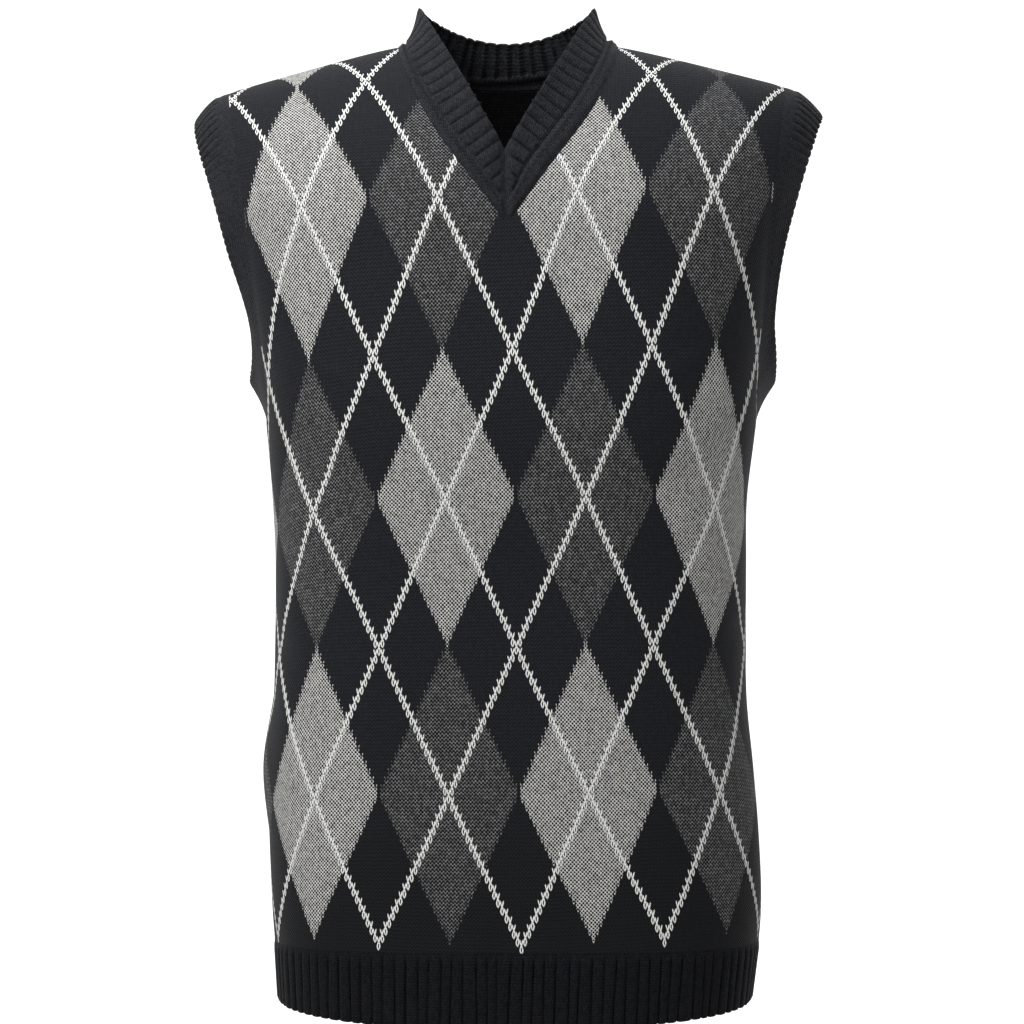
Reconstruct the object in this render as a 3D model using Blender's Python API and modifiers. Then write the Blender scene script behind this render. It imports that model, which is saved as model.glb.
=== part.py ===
"""A knitted V-neck sweater vest, worn and hollow: front, back, neckband, two armbands and the hem rib.

Metres, +Z up. -Y is the front and +X is on the right of someone who looks at the front. The origin
lies midway between the two points where the shoulders meet the neck, which carry the vest.
Each piece is a wall of knitted cloth. A piece ends 0.3 mm from the piece that it is sewn to.
"""

import math

import bmesh
import bpy
import numpy as np

MM = 0.001

WALL = 2.4 * MM  # thickness of the jersey panels and of the bands between their ribs
SEAM_GAP = 0.3 * MM
BAND_GAP = 0.4 * MM  # a band starts a little further off, because its wall leans against the panel's
RIB_RISE = 1.1 * MM  # how far a rib stands out of its band
ROLL_RISE = 1.4 * MM  # the linked edge that rolls up along the neckband

# The body of the vest, in millimetres: half widths to either side, depths to front and back, and the
# place of the side seam from front to back, at levels from the hem up.
SECTION_COLUMNS = ("level", "left", "right", "front", "back", "mid")
SECTIONS = (
    (-672.0, 162.0, 165.0, 112.0, 105.0, 0.0),
    (-628.0, 164.5, 171.0, 113.0, 109.0, 0.0),
    (-600.0, 166.6, 173.0, 112.0, 111.0, 0.0),
    (-545.0, 169.0, 170.5, 109.0, 112.0, 0.0),
    (-503.0, 170.0, 167.5, 107.0, 109.0, 0.0),
    (-461.0, 166.0, 163.5, 106.0, 105.0, 0.0),
    (-433.0, 165.0, 162.8, 106.0, 102.0, 0.0),
    (-363.0, 164.5, 163.0, 108.0, 100.0, 1.0),
    (-321.0, 166.5, 163.5, 112.0, 104.0, 2.0),
    (-279.0, 170.0, 168.5, 116.0, 110.0, 3.0),
    (-250.0, 173.0, 172.5, 117.0, 113.0, 4.0),
    (-200.0, 181.5, 178.5, 115.0, 115.0, 5.0),
    (-150.0, 194.0, 187.0, 112.0, 115.0, 6.0),
    (-100.0, 207.0, 198.0, 110.0, 113.0, 6.0),
    (0.0, 228.0, 215.0, 108.0, 108.0, 6.0),
    (60.0, 231.0, 217.0, 108.0, 108.0, 6.0),
)
SQUARENESS = {"front": 3.0, "back": 2.6}  # 2 is an ellipse, and more is squarer
SHOULDER_SQUARENESS = 3.0  # of both sides where they meet

# Soft folds in the cloth: where each runs, in degrees round from the centre of its side and in
# millimetres of level, from its upper to its lower end, its half width and how far it stands out.
FOLD_COLUMNS = ("side", "top_angle", "top_level", "low_angle", "low_level", "half_width", "rise")
FOLDS = (
    ("front", -66.0, -262.0, -40.0, -350.0, 9.0, -2.5),
    ("front", 66.0, -255.0, 42.0, -340.0, 9.0, -2.2),
    ("front", -84.0, -455.0, -81.0, -548.0, 7.0, 3.0),
    ("front", 70.0, -470.0, 76.0, -610.0, 8.0, 2.0),
    ("front", -30.0, -520.0, -24.0, -640.0, 9.0, -1.6),
    ("back", -62.0, -250.0, -28.0, -340.0, 10.0, -3.0),
    ("back", 62.0, -250.0, 30.0, -335.0, 10.0, -3.0),
    ("back", -20.0, -380.0, -34.0, -520.0, 9.0, 2.6),
    ("back", 22.0, -400.0, 30.0, -560.0, 9.0, 2.4),
    ("back", 4.0, -330.0, -2.0, -450.0, 8.0, -2.4),
)

# Shoulders: above the dome level the cloth turns over towards the shoulder seam.
DOME_LEVEL = -140.0 * MM
DOME_ARC = 198.0 * MM
TOP_LEVEL = DOME_LEVEL + DOME_ARC
SHOULDER_SLOPE = 0.285
SHOULDER_START = 71.5 * MM
SHOULDER_SOFTNESS = 22.0 * MM
SHOULDER_SEAM_REACH = 78.0 * MM  # how far the cloth below the seam's outer end lies from the seam

# Hem: the front hangs a little lower than the sides.
HEM_LEVEL = -661.0 * MM
HEM_DIP = 15.0 * MM
HEM_DIP_TOP = -400.0 * MM
WELT_HEIGHT = 57.0 * MM
WELT_LEVEL = HEM_LEVEL + WELT_HEIGHT

# Neck: the seam runs from the V point up to each shoulder and round the back.
NECK_SHIFT = -3.5 * MM
NECK_HALF_WIDTH = 72.0 * MM
V_DEPTH = 129.0 * MM
V_POWER = 1.45
BACK_NECK_DEPTH = 25.0 * MM
NOTCH_DEPTH = 79.7 * MM
NECK_RIM_HALF_WIDTH = 61.5 * MM
NECK_RIM_TOP = 24.0 * MM
NECK_RIM_BACK_TOP = 6.0 * MM
NECK_RIM_FRONT_DEPTH = 100.0 * MM
NECK_RIM_BACK_DEPTH = 52.0 * MM
NECK_RIM_MID = 4.0 * MM
NECK_RIM_POWER = 1.5
CENTRE_LEAN = -0.0148  # the centre front leans by this much for each metre of height
CENTRE_SHIFT = -4.4 * MM

# Armholes: the seam leaves the side seam at the underarm, scoops forward and climbs to the shoulder.
UNDERARM_LEVEL = -270.0 * MM
SCOOP_HEIGHT = 30.0 * MM
SCOOP_ANGLE = 16.0
CLIMB_ANGLE = 5.5
CLIMB_HEIGHT = 190.0 * MM
ARM_RIM_TOP = -60.0 * MM
ARM_RIM_LOW = -238.5 * MM
ARM_RIM_FRONT = 47.0 * MM
ARM_RIM_BACK = 55.0 * MM
ARM_RIM_MID = 6.0 * MM
ARM_AIM = 0.575  # half of 1.15: a point in the middle of the armhole, a little outside its rim
ARM_RIM_COLUMNS = ("level", "left", "right")
ARM_RIM = (
    (-245.0, 185.5, 185.0),
    (-222.0, 181.0, 184.0),
    (-195.0, 182.5, 182.0),
    (-153.0, 195.5, 187.0),
    (-110.0, 207.5, 198.0),
    (-68.0, 220.0, 211.0),
    (-55.0, 221.5, 216.0),
)

# Rows of the panels, from the welt up: levels below the shoulders, then turns of the dome in degrees.
LOWER_LEVELS = (-565.0, -523.0, -482.0, -440.0, -400.0, -360.0, -325.0, -295.0)
UPPER_LEVELS = (-267.5, -262.0, -253.0, -240.0, -213.0, -186.0, -160.0, -140.0)
DOME_TURNS = (15.0, 27.0, 39.0, 51.0, 62.0, 73.0)
BACK_DOME_TURNS = (15.0, 30.0, 44.0)
LAST_TURN = 84.0  # the row next to the shoulder seam, where the cloth is almost level
HALF_COLUMNS = 10
BACK_NECK_ROWS = 5

# Ribs, counted all round each band.
NECK_RIBS = 66
ARM_RIBS = 78
WELT_RIBS_EACH = 57
RIB_MARKS = ((0.0, 0.0), (0.26, 1.0), (0.74, 1.0))  # share of a rib's width, share of its rise
ARM_RIB_MARKS = ((0.0, 0.0), (0.5, 1.0))

# Profiles across each band, from its seam to its free edge: share of the width, rib rise, roll rise.
PROFILE_COLUMNS = ("across", "rib", "roll")
NECK_PROFILE = (
    (0.0, 0.0, 0.0),
    (0.13, 0.0, 0.0),
    (0.20, 0.0, 1.0),
    (0.28, 0.0, 0.0),
    (0.34, 1.0, 0.0),
    (0.68, 1.0, 0.0),
    (1.0, 1.0, 0.0),
)
ARM_PROFILE = (
    (0.0, 0.0, 0.0),
    (0.30, 0.0, 0.0),
    (0.37, 1.0, 0.0),
    (0.70, 1.0, 0.0),
    (1.0, 1.0, 0.0),
)
WELT_PROFILE = ((0.0, 0.0, 0.0), (0.06, 1.0, 0.0), (1.0, 1.0, 0.0))
BAND_PULL = 0.42  # how far a band runs on in its panel's direction before it bends to its rim

MATERIALS = {
    "argyle_jersey": ((0.075, 0.077, 0.085), 0.95),
    "black_rib": ((0.012, 0.012, 0.014), 0.95),
}


def clear_scene():
    """Removes what the file starts with."""
    for obj in list(bpy.data.objects):
        bpy.data.objects.remove(obj, do_unlink=True)


def smoothstep(share):
    """Rises gently from 0 to 1."""
    share = min(max(share, 0.0), 1.0)
    return share * share * (3.0 - 2.0 * share)


def read_table(rows, columns, name, level):
    """The named column at this level in metres, on a smooth curve through the table's rows."""
    at = columns.index(name)
    known = [row[0] * MM for row in rows]
    values = [row[at] * MM for row in rows]
    level = min(max(level, known[0]), known[-1])
    i = min(max(int(np.searchsorted(known, level)) - 1, 0), len(known) - 2)
    span = known[i + 1] - known[i]
    share = (level - known[i]) / span

    def slope(k):
        below = max(k - 1, 0)
        above = min(k + 1, len(known) - 1)
        return (values[above] - values[below]) / (known[above] - known[below])

    squared = share * share
    cubed = squared * share
    return (
        (2 * cubed - 3 * squared + 1) * values[i]
        + (cubed - 2 * squared + share) * span * slope(i)
        + (3 * squared - 2 * cubed) * values[i + 1]
        + (cubed - squared) * span * slope(i + 1)
    )


def fold_rise(side, angle, level):
    """How far the soft folds lift the cloth here. Angles in degrees, the level in metres."""
    total = 0.0
    for row in FOLDS:
        fold = dict(zip(FOLD_COLUMNS, row))
        along = (level / MM - fold["low_level"]) / (fold["top_level"] - fold["low_level"])
        if fold["side"] != side or not 0.0 < along < 1.0:
            continue
        centre = fold["low_angle"] + (fold["top_angle"] - fold["low_angle"]) * along
        across = (angle - centre) / fold["half_width"]
        total += fold["rise"] * MM * math.exp(-across * across) * math.sin(math.pi * along)
    return total


def shoulder_line(x):
    """Height of the shoulder seam at x."""
    past = abs(x - NECK_SHIFT) - SHOULDER_START
    return -SHOULDER_SLOPE * 0.5 * (math.hypot(past, SHOULDER_SOFTNESS) + past)


def body_point(side, angle, level):
    """A point on the outside of the vest. The angle runs from the centre of the side, in degrees."""
    sine = math.sin(math.radians(angle))
    cosine = max(math.cos(math.radians(angle)), 0.0)
    half_width = read_table(SECTIONS, SECTION_COLUMNS, "right" if sine > 0 else "left", level)
    depth = read_table(SECTIONS, SECTION_COLUMNS, side, level)
    mid = read_table(SECTIONS, SECTION_COLUMNS, "mid", level)
    top_share = smoothstep((level - DOME_LEVEL) / DOME_ARC)
    power = SQUARENESS[side] + (SHOULDER_SQUARENESS - SQUARENESS[side]) * top_share
    reach = (abs(sine / half_width) ** power + (cosine / depth) ** power) ** (-1.0 / power)
    reach += fold_rise(side, angle, level)
    facing = -1.0 if side == "front" else 1.0
    x = reach * sine
    if level <= DOME_LEVEL:
        dip = HEM_DIP * smoothstep((HEM_DIP_TOP - level) / (HEM_DIP_TOP - HEM_LEVEL))
        z = level - (dip * cosine if side == "front" else 0.0)
        return np.array((x, mid + facing * reach * cosine, z))
    turn = min((level - DOME_LEVEL) / DOME_ARC, 1.0) * math.pi / 2
    z = DOME_LEVEL + (shoulder_line(x) - DOME_LEVEL) * math.sin(turn)
    return np.array((x, mid + facing * reach * cosine * math.cos(turn), z))


def dome_level(turn):
    """The level at which the dome has turned by this many degrees."""
    return DOME_LEVEL + DOME_ARC * turn / 90.0


def turn_at_height(z):
    """How far the dome has turned, in degrees, where the cloth near the neck reaches this height."""
    return math.degrees(math.asin(min(max((DOME_LEVEL - z) / DOME_LEVEL, 0.0), 1.0)))


RING_ANGLES = np.linspace(-90.0, 90.0, 361)  # fine enough to measure along the cloth


def lengths_along(points):
    """How far along a line each of its points lies."""
    steps = np.linalg.norm(np.diff(points, axis=0), axis=1)
    return np.concatenate(((0.0,), np.cumsum(steps)))


def half_ring(side, level):
    """Points round one side at this level, and their distance along the cloth from its middle."""
    points = np.array([body_point(side, angle, level) for angle in RING_ANGLES])
    arcs = lengths_along(points)
    return points, arcs - arcs[len(arcs) // 2]


def armhole_angle(level):
    """Where the armhole seam lies at this level, in degrees from the centre of a side."""
    climb = level - UNDERARM_LEVEL
    open_share = min(max(climb / SCOOP_HEIGHT, 0.0), 1.0)
    scoop = math.sqrt(1.0 - (1.0 - open_share) ** 2)
    return 90.0 - SCOOP_ANGLE * scoop - CLIMB_ANGLE * smoothstep(climb / CLIMB_HEIGHT)


def neck_half_width(side, z):
    """Half of the neck opening at this height."""
    if side == "front":
        share = min(max(-z / V_DEPTH, 0.0), 1.0)
        return NECK_HALF_WIDTH * (1.0 - share**V_POWER)
    share = min(max(-z / BACK_NECK_DEPTH, 0.0), 1.0)
    return NECK_HALF_WIDTH * math.sqrt(1.0 - share * share)


def panel_levels(side):
    """Levels of a panel's rows, and the place in that list of the row that touches the neck opening."""
    levels = [WELT_LEVEL + SEAM_GAP]
    levels += [level * MM for level in LOWER_LEVELS]
    levels.append(UNDERARM_LEVEL)
    levels += [level * MM for level in UPPER_LEVELS]
    lean = WALL * math.sin(math.radians(90.0 - LAST_TURN))
    seam_turn = 90.0 - math.degrees((0.5 * SEAM_GAP + lean) / SHOULDER_SEAM_REACH)
    if side == "front":
        levels.append(dome_level(turn_at_height(-V_DEPTH)))
        neck_row = len(levels) - 1
        levels += [dome_level(turn) for turn in DOME_TURNS]
    else:
        levels += [dome_level(turn) for turn in BACK_DOME_TURNS]
        neck_row = len(levels)
        low = turn_at_height(-BACK_NECK_DEPTH)
        shares = (math.sin(0.5 * math.pi * k / BACK_NECK_ROWS) for k in range(BACK_NECK_ROWS))
        drops = [BACK_NECK_DEPTH * math.sqrt(1.0 - share * share) for share in shares]
        levels += [dome_level(low)] + [dome_level(turn_at_height(-drop)) for drop in drops[1:]]
    levels += [dome_level(LAST_TURN), dome_level(seam_turn)]
    return levels, neck_row


def half_row(arcs, outer, inner):
    """Angles of one half of a row, from its outer edge to its inner one. The armhole narrows the
    columns next to it and leaves those further in where they were."""
    outer_arc, inner_arc = np.interp((outer, inner), RING_ANGLES, arcs)
    seam_arc = arcs[-1] if outer > 0 else arcs[0]
    wanted = []
    for k in range(HALF_COLUMNS + 1):
        share = 1.0 - k / HALF_COLUMNS
        cut = (seam_arc - outer_arc) * smoothstep(2.0 * share - 1.0)
        kept = (seam_arc * share - cut) / outer_arc
        wanted.append(inner_arc + kept * (outer_arc - inner_arc))
    return np.interp(wanted, arcs, RING_ANGLES)


def panel_rows(side):
    """Rows of (left half, right half), each a list of points from the outer edge to the middle."""
    levels, neck_row = panel_levels(side)
    rows = []
    for number, level in enumerate(levels):
        points, arcs = half_ring(side, level)
        edge = armhole_angle(level)
        if edge >= 90.0:
            side_gap = 0.5 * SEAM_GAP
            left_edge = np.interp(arcs[0] + side_gap, arcs, RING_ANGLES)
            right_edge = np.interp(arcs[-1] - side_gap, arcs, RING_ANGLES)
        else:
            left_edge = -edge
            right_edge = edge
        if number <= neck_row:
            height = points[len(points) // 2][2]
            lean = CENTRE_SHIFT + CENTRE_LEAN * height if side == "front" else NECK_SHIFT
            if number == neck_row:
                lean = NECK_SHIFT
            inner = (lean, lean)
        else:
            half = neck_half_width(side, points[len(points) // 2][2])
            inner = (NECK_SHIFT - half, NECK_SHIFT + half)
        inner_angles = np.interp(inner, points[:, 0], RING_ANGLES)
        left = half_row(arcs, left_edge, inner_angles[0])
        right = half_row(arcs, right_edge, inner_angles[1])
        rows.append(
            (
                [body_point(side, angle, level) for angle in left],
                [body_point(side, angle, level) for angle in right],
            )
        )
    return rows, neck_row


SHARP_ANGLE = math.radians(50.0)  # edges that bend more than this stay crisp


def new_object(name, mesh_tool, collection, material):
    """Makes an object of a bmesh, smooth where it is round."""
    mesh = bpy.data.meshes.new(name)
    mesh_tool.to_mesh(mesh)
    mesh_tool.free()
    mesh.shade_smooth()
    mesh.set_sharp_from_angle(angle=SHARP_ANGLE)
    mesh.materials.append(material)
    obj = bpy.data.objects.new(name, mesh)
    collection.objects.link(obj)
    return obj


def add_panel(name, side, collection, material):
    """One knitted panel: an open sheet given its wall by Solidify. Returns its rows for the bands."""
    rows, neck_row = panel_rows(side)
    tool = bmesh.new()
    grid = []
    for number, (left, right) in enumerate(rows):
        left_verts = [tool.verts.new(point) for point in left]
        right_verts = [tool.verts.new(point) for point in right]
        if number <= neck_row:
            tool.verts.remove(right_verts[-1])
            right_verts[-1] = left_verts[-1]
        grid.append((left_verts, right_verts))
    for below, above in zip(grid, grid[1:]):
        for half in (0, 1):
            for k in range(HALF_COLUMNS):
                corners = (below[half][k], below[half][k + 1], above[half][k + 1], above[half][k])
                outward = (half == 0) == (side == "front")
                tool.faces.new(corners if outward else corners[::-1])
    obj = new_object(name, tool, collection, material)
    wall = obj.modifiers.new("wall", "SOLIDIFY")
    wall.thickness = WALL
    wall.offset = -1.0
    wall.use_even_offset = True
    return rows, neck_row


ANGLE_STEP = 0.4  # degrees and metres over which the slope of the cloth is measured
LEVEL_STEP = 0.8 * MM
ACROSS_STEP = 0.01  # the same, as a share of a band's width


def surface_normal(side, angle, level):
    """The outward direction of the cloth."""
    low = min(level, TOP_LEVEL - LEVEL_STEP)
    inside = max(min(angle, 90.0 - ANGLE_STEP), ANGLE_STEP - 90.0)
    across = body_point(side, inside + ANGLE_STEP, low) - body_point(side, inside - ANGLE_STEP, low)
    up = body_point(side, inside, low + LEVEL_STEP) - body_point(side, inside, low - LEVEL_STEP)
    normal = np.cross(across, up)
    if side == "back":
        normal = -normal
    return normal / np.linalg.norm(normal)


def outward_from_panel(seam, normals, towards):
    """At each point of a closed seam, the direction in which its panel would run on. Of the two
    directions square to the seam, it is the one that faces the points given as towards."""
    along = np.roll(seam, -1, axis=0) - np.roll(seam, 1, axis=0)
    out = np.cross(along, normals)
    out /= np.linalg.norm(out, axis=1)[:, None]
    signs = np.sign(np.einsum("ij,ij->i", out, towards - seam))
    return out * signs[:, None]


def closed_position(points, share):
    """The last corner before this share of the way round a closed line, and how far it is past it."""
    arcs = lengths_along(np.vstack((points, points[:1])))
    wanted = (share % 1.0) * arcs[-1]
    i = min(int(np.searchsorted(arcs, wanted, side="right")) - 1, len(points) - 1)
    part = (wanted - arcs[i]) / (arcs[i + 1] - arcs[i])
    return i, part


def between(values, i, part):
    """A value between corner i of a closed line and the next."""
    return values[i] * (1.0 - part) + values[(i + 1) % len(values)] * part


def rib_columns(ribs, marks):
    """Shares of the way along a band at which a column lies, with the rib's rise there."""
    return [((rib + at) / ribs, rise) for rib in range(ribs) for at, rise in marks]


def band_base(seam, outs, rim):
    """Rows of points across a band, from its seam, on in the panel's direction, to its rim."""
    start = seam + outs * BAND_GAP
    pull = np.linalg.norm(rim - start, axis=1)[:, None] * BAND_PULL
    bend = start + outs * pull

    def at(across):
        return (1 - across) ** 2 * start + 2 * across * (1 - across) * bend + across**2 * rim

    return at


def band_rings(base, profile, rises, closed):
    """Closed outlines of the wall across a band, one for each column."""
    shares = [row[PROFILE_COLUMNS.index("across")] for row in profile]
    grid = np.array([base(share) for share in shares])
    if closed:
        along = np.roll(grid, -1, axis=1) - np.roll(grid, 1, axis=1)
    else:
        along = np.gradient(grid, axis=1)
    ahead = [base(min(share + ACROSS_STEP, 1.0)) for share in shares]
    across = np.array(ahead) - np.array([base(max(share - ACROSS_STEP, 0.0)) for share in shares])
    normals = np.cross(along, across)
    normals /= np.linalg.norm(normals, axis=2)[:, :, None]
    ribs = np.array([row[PROFILE_COLUMNS.index("rib")] for row in profile]) * RIB_RISE
    rolls = np.array([row[PROFILE_COLUMNS.index("roll")] for row in profile]) * ROLL_RISE
    lift = ribs[:, None] * rises[None, :] + rolls[:, None]
    outer = grid + normals * lift[:, :, None]
    inner = grid - normals * WALL
    middle = len(shares) // 2
    inside_rows = (len(shares) - 1, middle, 0) if closed else (len(shares) - 1, 0)
    rows = [outer[k] for k in range(len(shares))] + [inner[k] for k in inside_rows]
    return np.array(rows).transpose(1, 0, 2)


def add_band(name, rings, closed, collection, material):
    """Joins the outlines of a band's wall one to the next."""
    tool = bmesh.new()
    loops = [[tool.verts.new(point) for point in ring] for ring in rings]
    pairs = list(zip(loops, loops[1:]))
    if closed:
        pairs.append((loops[-1], loops[0]))
    for first, second in pairs:
        for k in range(len(first)):
            after = (k + 1) % len(first)
            tool.faces.new((first[k], first[after], second[after], second[k]))
    if not closed:
        tool.faces.new(loops[0])
        tool.faces.new(loops[-1])
    bmesh.ops.recalc_face_normals(tool, faces=tool.faces)
    return new_object(name, tool, collection, material)


def edge_of(side, half, rows, levels, at):
    """One edge of a panel as points and outward directions. The place is 0, outer, or -1, inner."""
    points = np.array([row[half][at] for row in rows])
    normals = []
    for point, level in zip(points, levels):
        ring, _ = half_ring(side, level)
        distances = np.linalg.norm(ring - point, axis=1)
        normals.append(surface_normal(side, RING_ANGLES[int(distances.argmin())], level))
    return points, np.array(normals)


LINE_SAMPLES = 181  # fine enough to measure along a rim


def neck_rim(share, side):
    """The neckband's free edge, from the notch or the centre back (0) to the shoulder (1)."""
    turn = 0.5 * math.pi * share
    if side == "front":
        height = -NOTCH_DEPTH + (NECK_RIM_TOP + NOTCH_DEPTH) * math.sin(turn)
        depth = -NECK_RIM_FRONT_DEPTH * max(math.cos(turn), 0.0) ** NECK_RIM_POWER
    else:
        height = NECK_RIM_BACK_TOP + (NECK_RIM_TOP - NECK_RIM_BACK_TOP) * math.sin(turn) ** 2
        depth = NECK_RIM_BACK_DEPTH * math.cos(turn)
    return np.array((NECK_RIM_HALF_WIDTH * math.sin(turn), NECK_RIM_MID + depth, height))


def even_line(curve):
    """A function that reads a curve evenly along its length."""
    points = np.array([curve(share) for share in np.linspace(0.0, 1.0, LINE_SAMPLES)])
    arcs = lengths_along(points)

    def at(share):
        wanted = share * arcs[-1]
        return np.array([np.interp(wanted, arcs, points[:, axis]) for axis in range(3)])

    return at


def add_neckband(fronts, backs, collection, material):
    """The ribbed V neckband: one closed strip on the neck seam, mitred at the V point."""
    panels = {"front": fronts, "back": backs}
    runs = []
    for side, half, rising in (
        ("front", 1, True),
        ("back", 1, False),
        ("back", 0, True),
        ("front", 0, False),
    ):
        rows, neck_row, levels = panels[side]
        points, normals = edge_of(side, half, rows[neck_row:], levels[neck_row:], -1)
        order = slice(None) if rising else slice(None, None, -1)
        runs.append((points[order], normals[order]))
    # The V point and the centre back each end one run and start the next: each is kept once.
    seam = np.vstack((runs[0][0], runs[1][0], runs[2][0][1:], runs[3][0][:-1]))
    normals = np.vstack((runs[0][1], runs[1][1], runs[2][1][1:], runs[3][1][:-1]))
    centre = np.array((NECK_SHIFT, NECK_RIM_MID, NECK_RIM_TOP))
    outs = outward_from_panel(seam, normals, centre[None, :])
    arcs = lengths_along(np.vstack((seam, seam[:1])))
    total = arcs[-1]
    shoulder = arcs[len(runs[0][0])] / total
    back = arcs[len(runs[0][0]) + len(runs[1][0]) - 1] / total
    rims = {side: even_line(lambda share, side=side: neck_rim(share, side)) for side in SQUARENESS}
    columns = rib_columns(NECK_RIBS, RIB_MARKS)
    seam_line = []
    out_line = []
    rim_line = []
    for share, _ in columns:
        i, part = closed_position(seam, share)
        seam_line.append(between(seam, i, part))
        out = between(outs, i, part)
        out_line.append(out / np.linalg.norm(out))
        mirrored = share > back
        folded = 1.0 - share if mirrored else share
        if folded <= shoulder:
            point = rims["front"](folded / shoulder)
        else:
            point = rims["back"]((back - folded) / (back - shoulder))
        if mirrored:
            point = point * np.array((-1.0, 1.0, 1.0))
        rim_line.append(point + np.array((NECK_SHIFT, 0.0, 0.0)))
    base = band_base(np.array(seam_line), np.array(out_line), np.array(rim_line))
    rises = np.array([rise for _, rise in columns])
    rings = band_rings(base, NECK_PROFILE, rises, True)
    add_band("neckband", rings, True, collection, material)


def arm_rim(share, half):
    """The armband's free edge: share 0 at the underarm, 0.5 on the shoulder, the front between."""
    turn = 2.0 * math.pi * share
    middle = 0.5 * (ARM_RIM_TOP + ARM_RIM_LOW)
    z = middle - 0.5 * (ARM_RIM_TOP - ARM_RIM_LOW) * math.cos(turn)
    depth = -(ARM_RIM_FRONT if math.sin(turn) > 0 else ARM_RIM_BACK) * math.sin(turn)
    reach = read_table(ARM_RIM, ARM_RIM_COLUMNS, ("left", "right")[half], z)
    return np.array((reach if half else -reach, ARM_RIM_MID + depth, z))


def add_armband(name, half, fronts, backs, collection, material):
    """A ribbed band round one armhole, from the underarm up the front and down the back."""
    front_rows, _, front_levels = fronts
    back_rows, _, back_levels = backs
    first = front_levels.index(UNDERARM_LEVEL)
    front_points, front_normals = edge_of("front", half, front_rows[first:], front_levels[first:], 0)
    back_points, back_normals = edge_of("back", half, back_rows[first:], back_levels[first:], 0)
    seam = np.vstack((front_points, back_points[::-1]))
    normals = np.vstack((front_normals, back_normals[::-1]))
    beyond_rim = arm_rim(0.0, half) + arm_rim(0.5, half)
    beyond_rim *= np.array((ARM_AIM, 0.5, 0.5))
    outs = outward_from_panel(seam, normals, beyond_rim[None, :])
    arcs = lengths_along(np.vstack((seam, seam[:1])))
    top = arcs[len(front_points)] / arcs[-1]
    up = even_line(lambda share: arm_rim(0.5 * share, half))
    down = even_line(lambda share: arm_rim(0.5 + 0.5 * share, half))
    columns = rib_columns(ARM_RIBS, ARM_RIB_MARKS)
    seam_line = []
    out_line = []
    rim_line = []
    for share, _ in columns:
        i, part = closed_position(seam, share)
        seam_line.append(between(seam, i, part))
        out = between(outs, i, part)
        out_line.append(out / np.linalg.norm(out))
        rim_line.append(up(share / top) if share <= top else down((share - top) / (1.0 - top)))
    order = slice(None) if half else slice(None, None, -1)
    lines = (np.array(line)[order] for line in (seam_line, out_line, rim_line))
    rises = np.array([rise for _, rise in columns])[order]
    rings = band_rings(band_base(*lines), ARM_PROFILE, rises, True)
    add_band(name, rings, True, collection, material)


def add_welt(name, side, rows, collection, material):
    """The ribbed welt below one panel, on from the panel's lowest row."""
    left, right = rows[0]
    panel_edge = np.array(left + right[-2::-1])
    arcs = lengths_along(panel_edge)
    foot_ring, foot_arcs = half_ring(side, HEM_LEVEL)
    side_gap = 0.5 * SEAM_GAP
    shares = rib_columns(WELT_RIBS_EACH, RIB_MARKS) + [(1.0, 0.0)]
    top_line = []
    foot_line = []
    for share, _ in shares:
        wanted = share * arcs[-1]
        top_line.append([np.interp(wanted, arcs, panel_edge[:, axis]) for axis in range(3)])
        foot = foot_arcs[0] + side_gap + share * (foot_arcs[-1] - foot_arcs[0] - 2 * side_gap)
        foot_line.append([np.interp(foot, foot_arcs, foot_ring[:, axis]) for axis in range(3)])
    order = slice(None, None, -1) if side == "front" else slice(None)
    top_line = np.array(top_line)[order] - np.array((0.0, 0.0, BAND_GAP))
    foot_line = np.array(foot_line)[order]
    rises = np.array([rise for _, rise in shares])[order]

    def base(across):
        return top_line * (1.0 - across) + foot_line * across

    rings = band_rings(base, WELT_PROFILE, rises, False)
    add_band(name, rings, False, collection, material)


def main():
    clear_scene()
    collection = bpy.data.collections.new("sweater_vest")
    bpy.context.scene.collection.children.link(collection)
    materials = {}
    for name, (colour, roughness) in MATERIALS.items():
        material = bpy.data.materials.new(name)
        material.use_nodes = True
        shader = material.node_tree.nodes["Principled BSDF"]
        shader.inputs["Base Color"].default_value = (*colour, 1.0)
        shader.inputs["Roughness"].default_value = roughness
        shader.inputs["Metallic"].default_value = 0.0
        materials[name] = material
    jersey = materials["argyle_jersey"]
    rib = materials["black_rib"]
    sides = {}
    for side in ("front", "back"):
        rows, neck_row = add_panel(side + "_panel", side, collection, jersey)
        sides[side] = (rows, neck_row, panel_levels(side)[0])
        add_welt("hem_rib_" + side, side, rows, collection, rib)
    add_neckband(sides["front"], sides["back"], collection, rib)
    add_armband("armband_left", 0, sides["front"], sides["back"], collection, rib)
    add_armband("armband_right", 1, sides["front"], sides["back"], collection, rib)


main()
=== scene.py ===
"""A knitted V-neck sweater vest, worn and hollow, with an argyle front and back and black ribs.

Metres, +Z up, -Y the front. Each piece is a knitted sheet on its solid's own form, with finer ribs,
folds and stitches. UV maps count stitches: one wale across and one row up is one unit each.
"""

import math
from functools import partial
from types import SimpleNamespace

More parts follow.
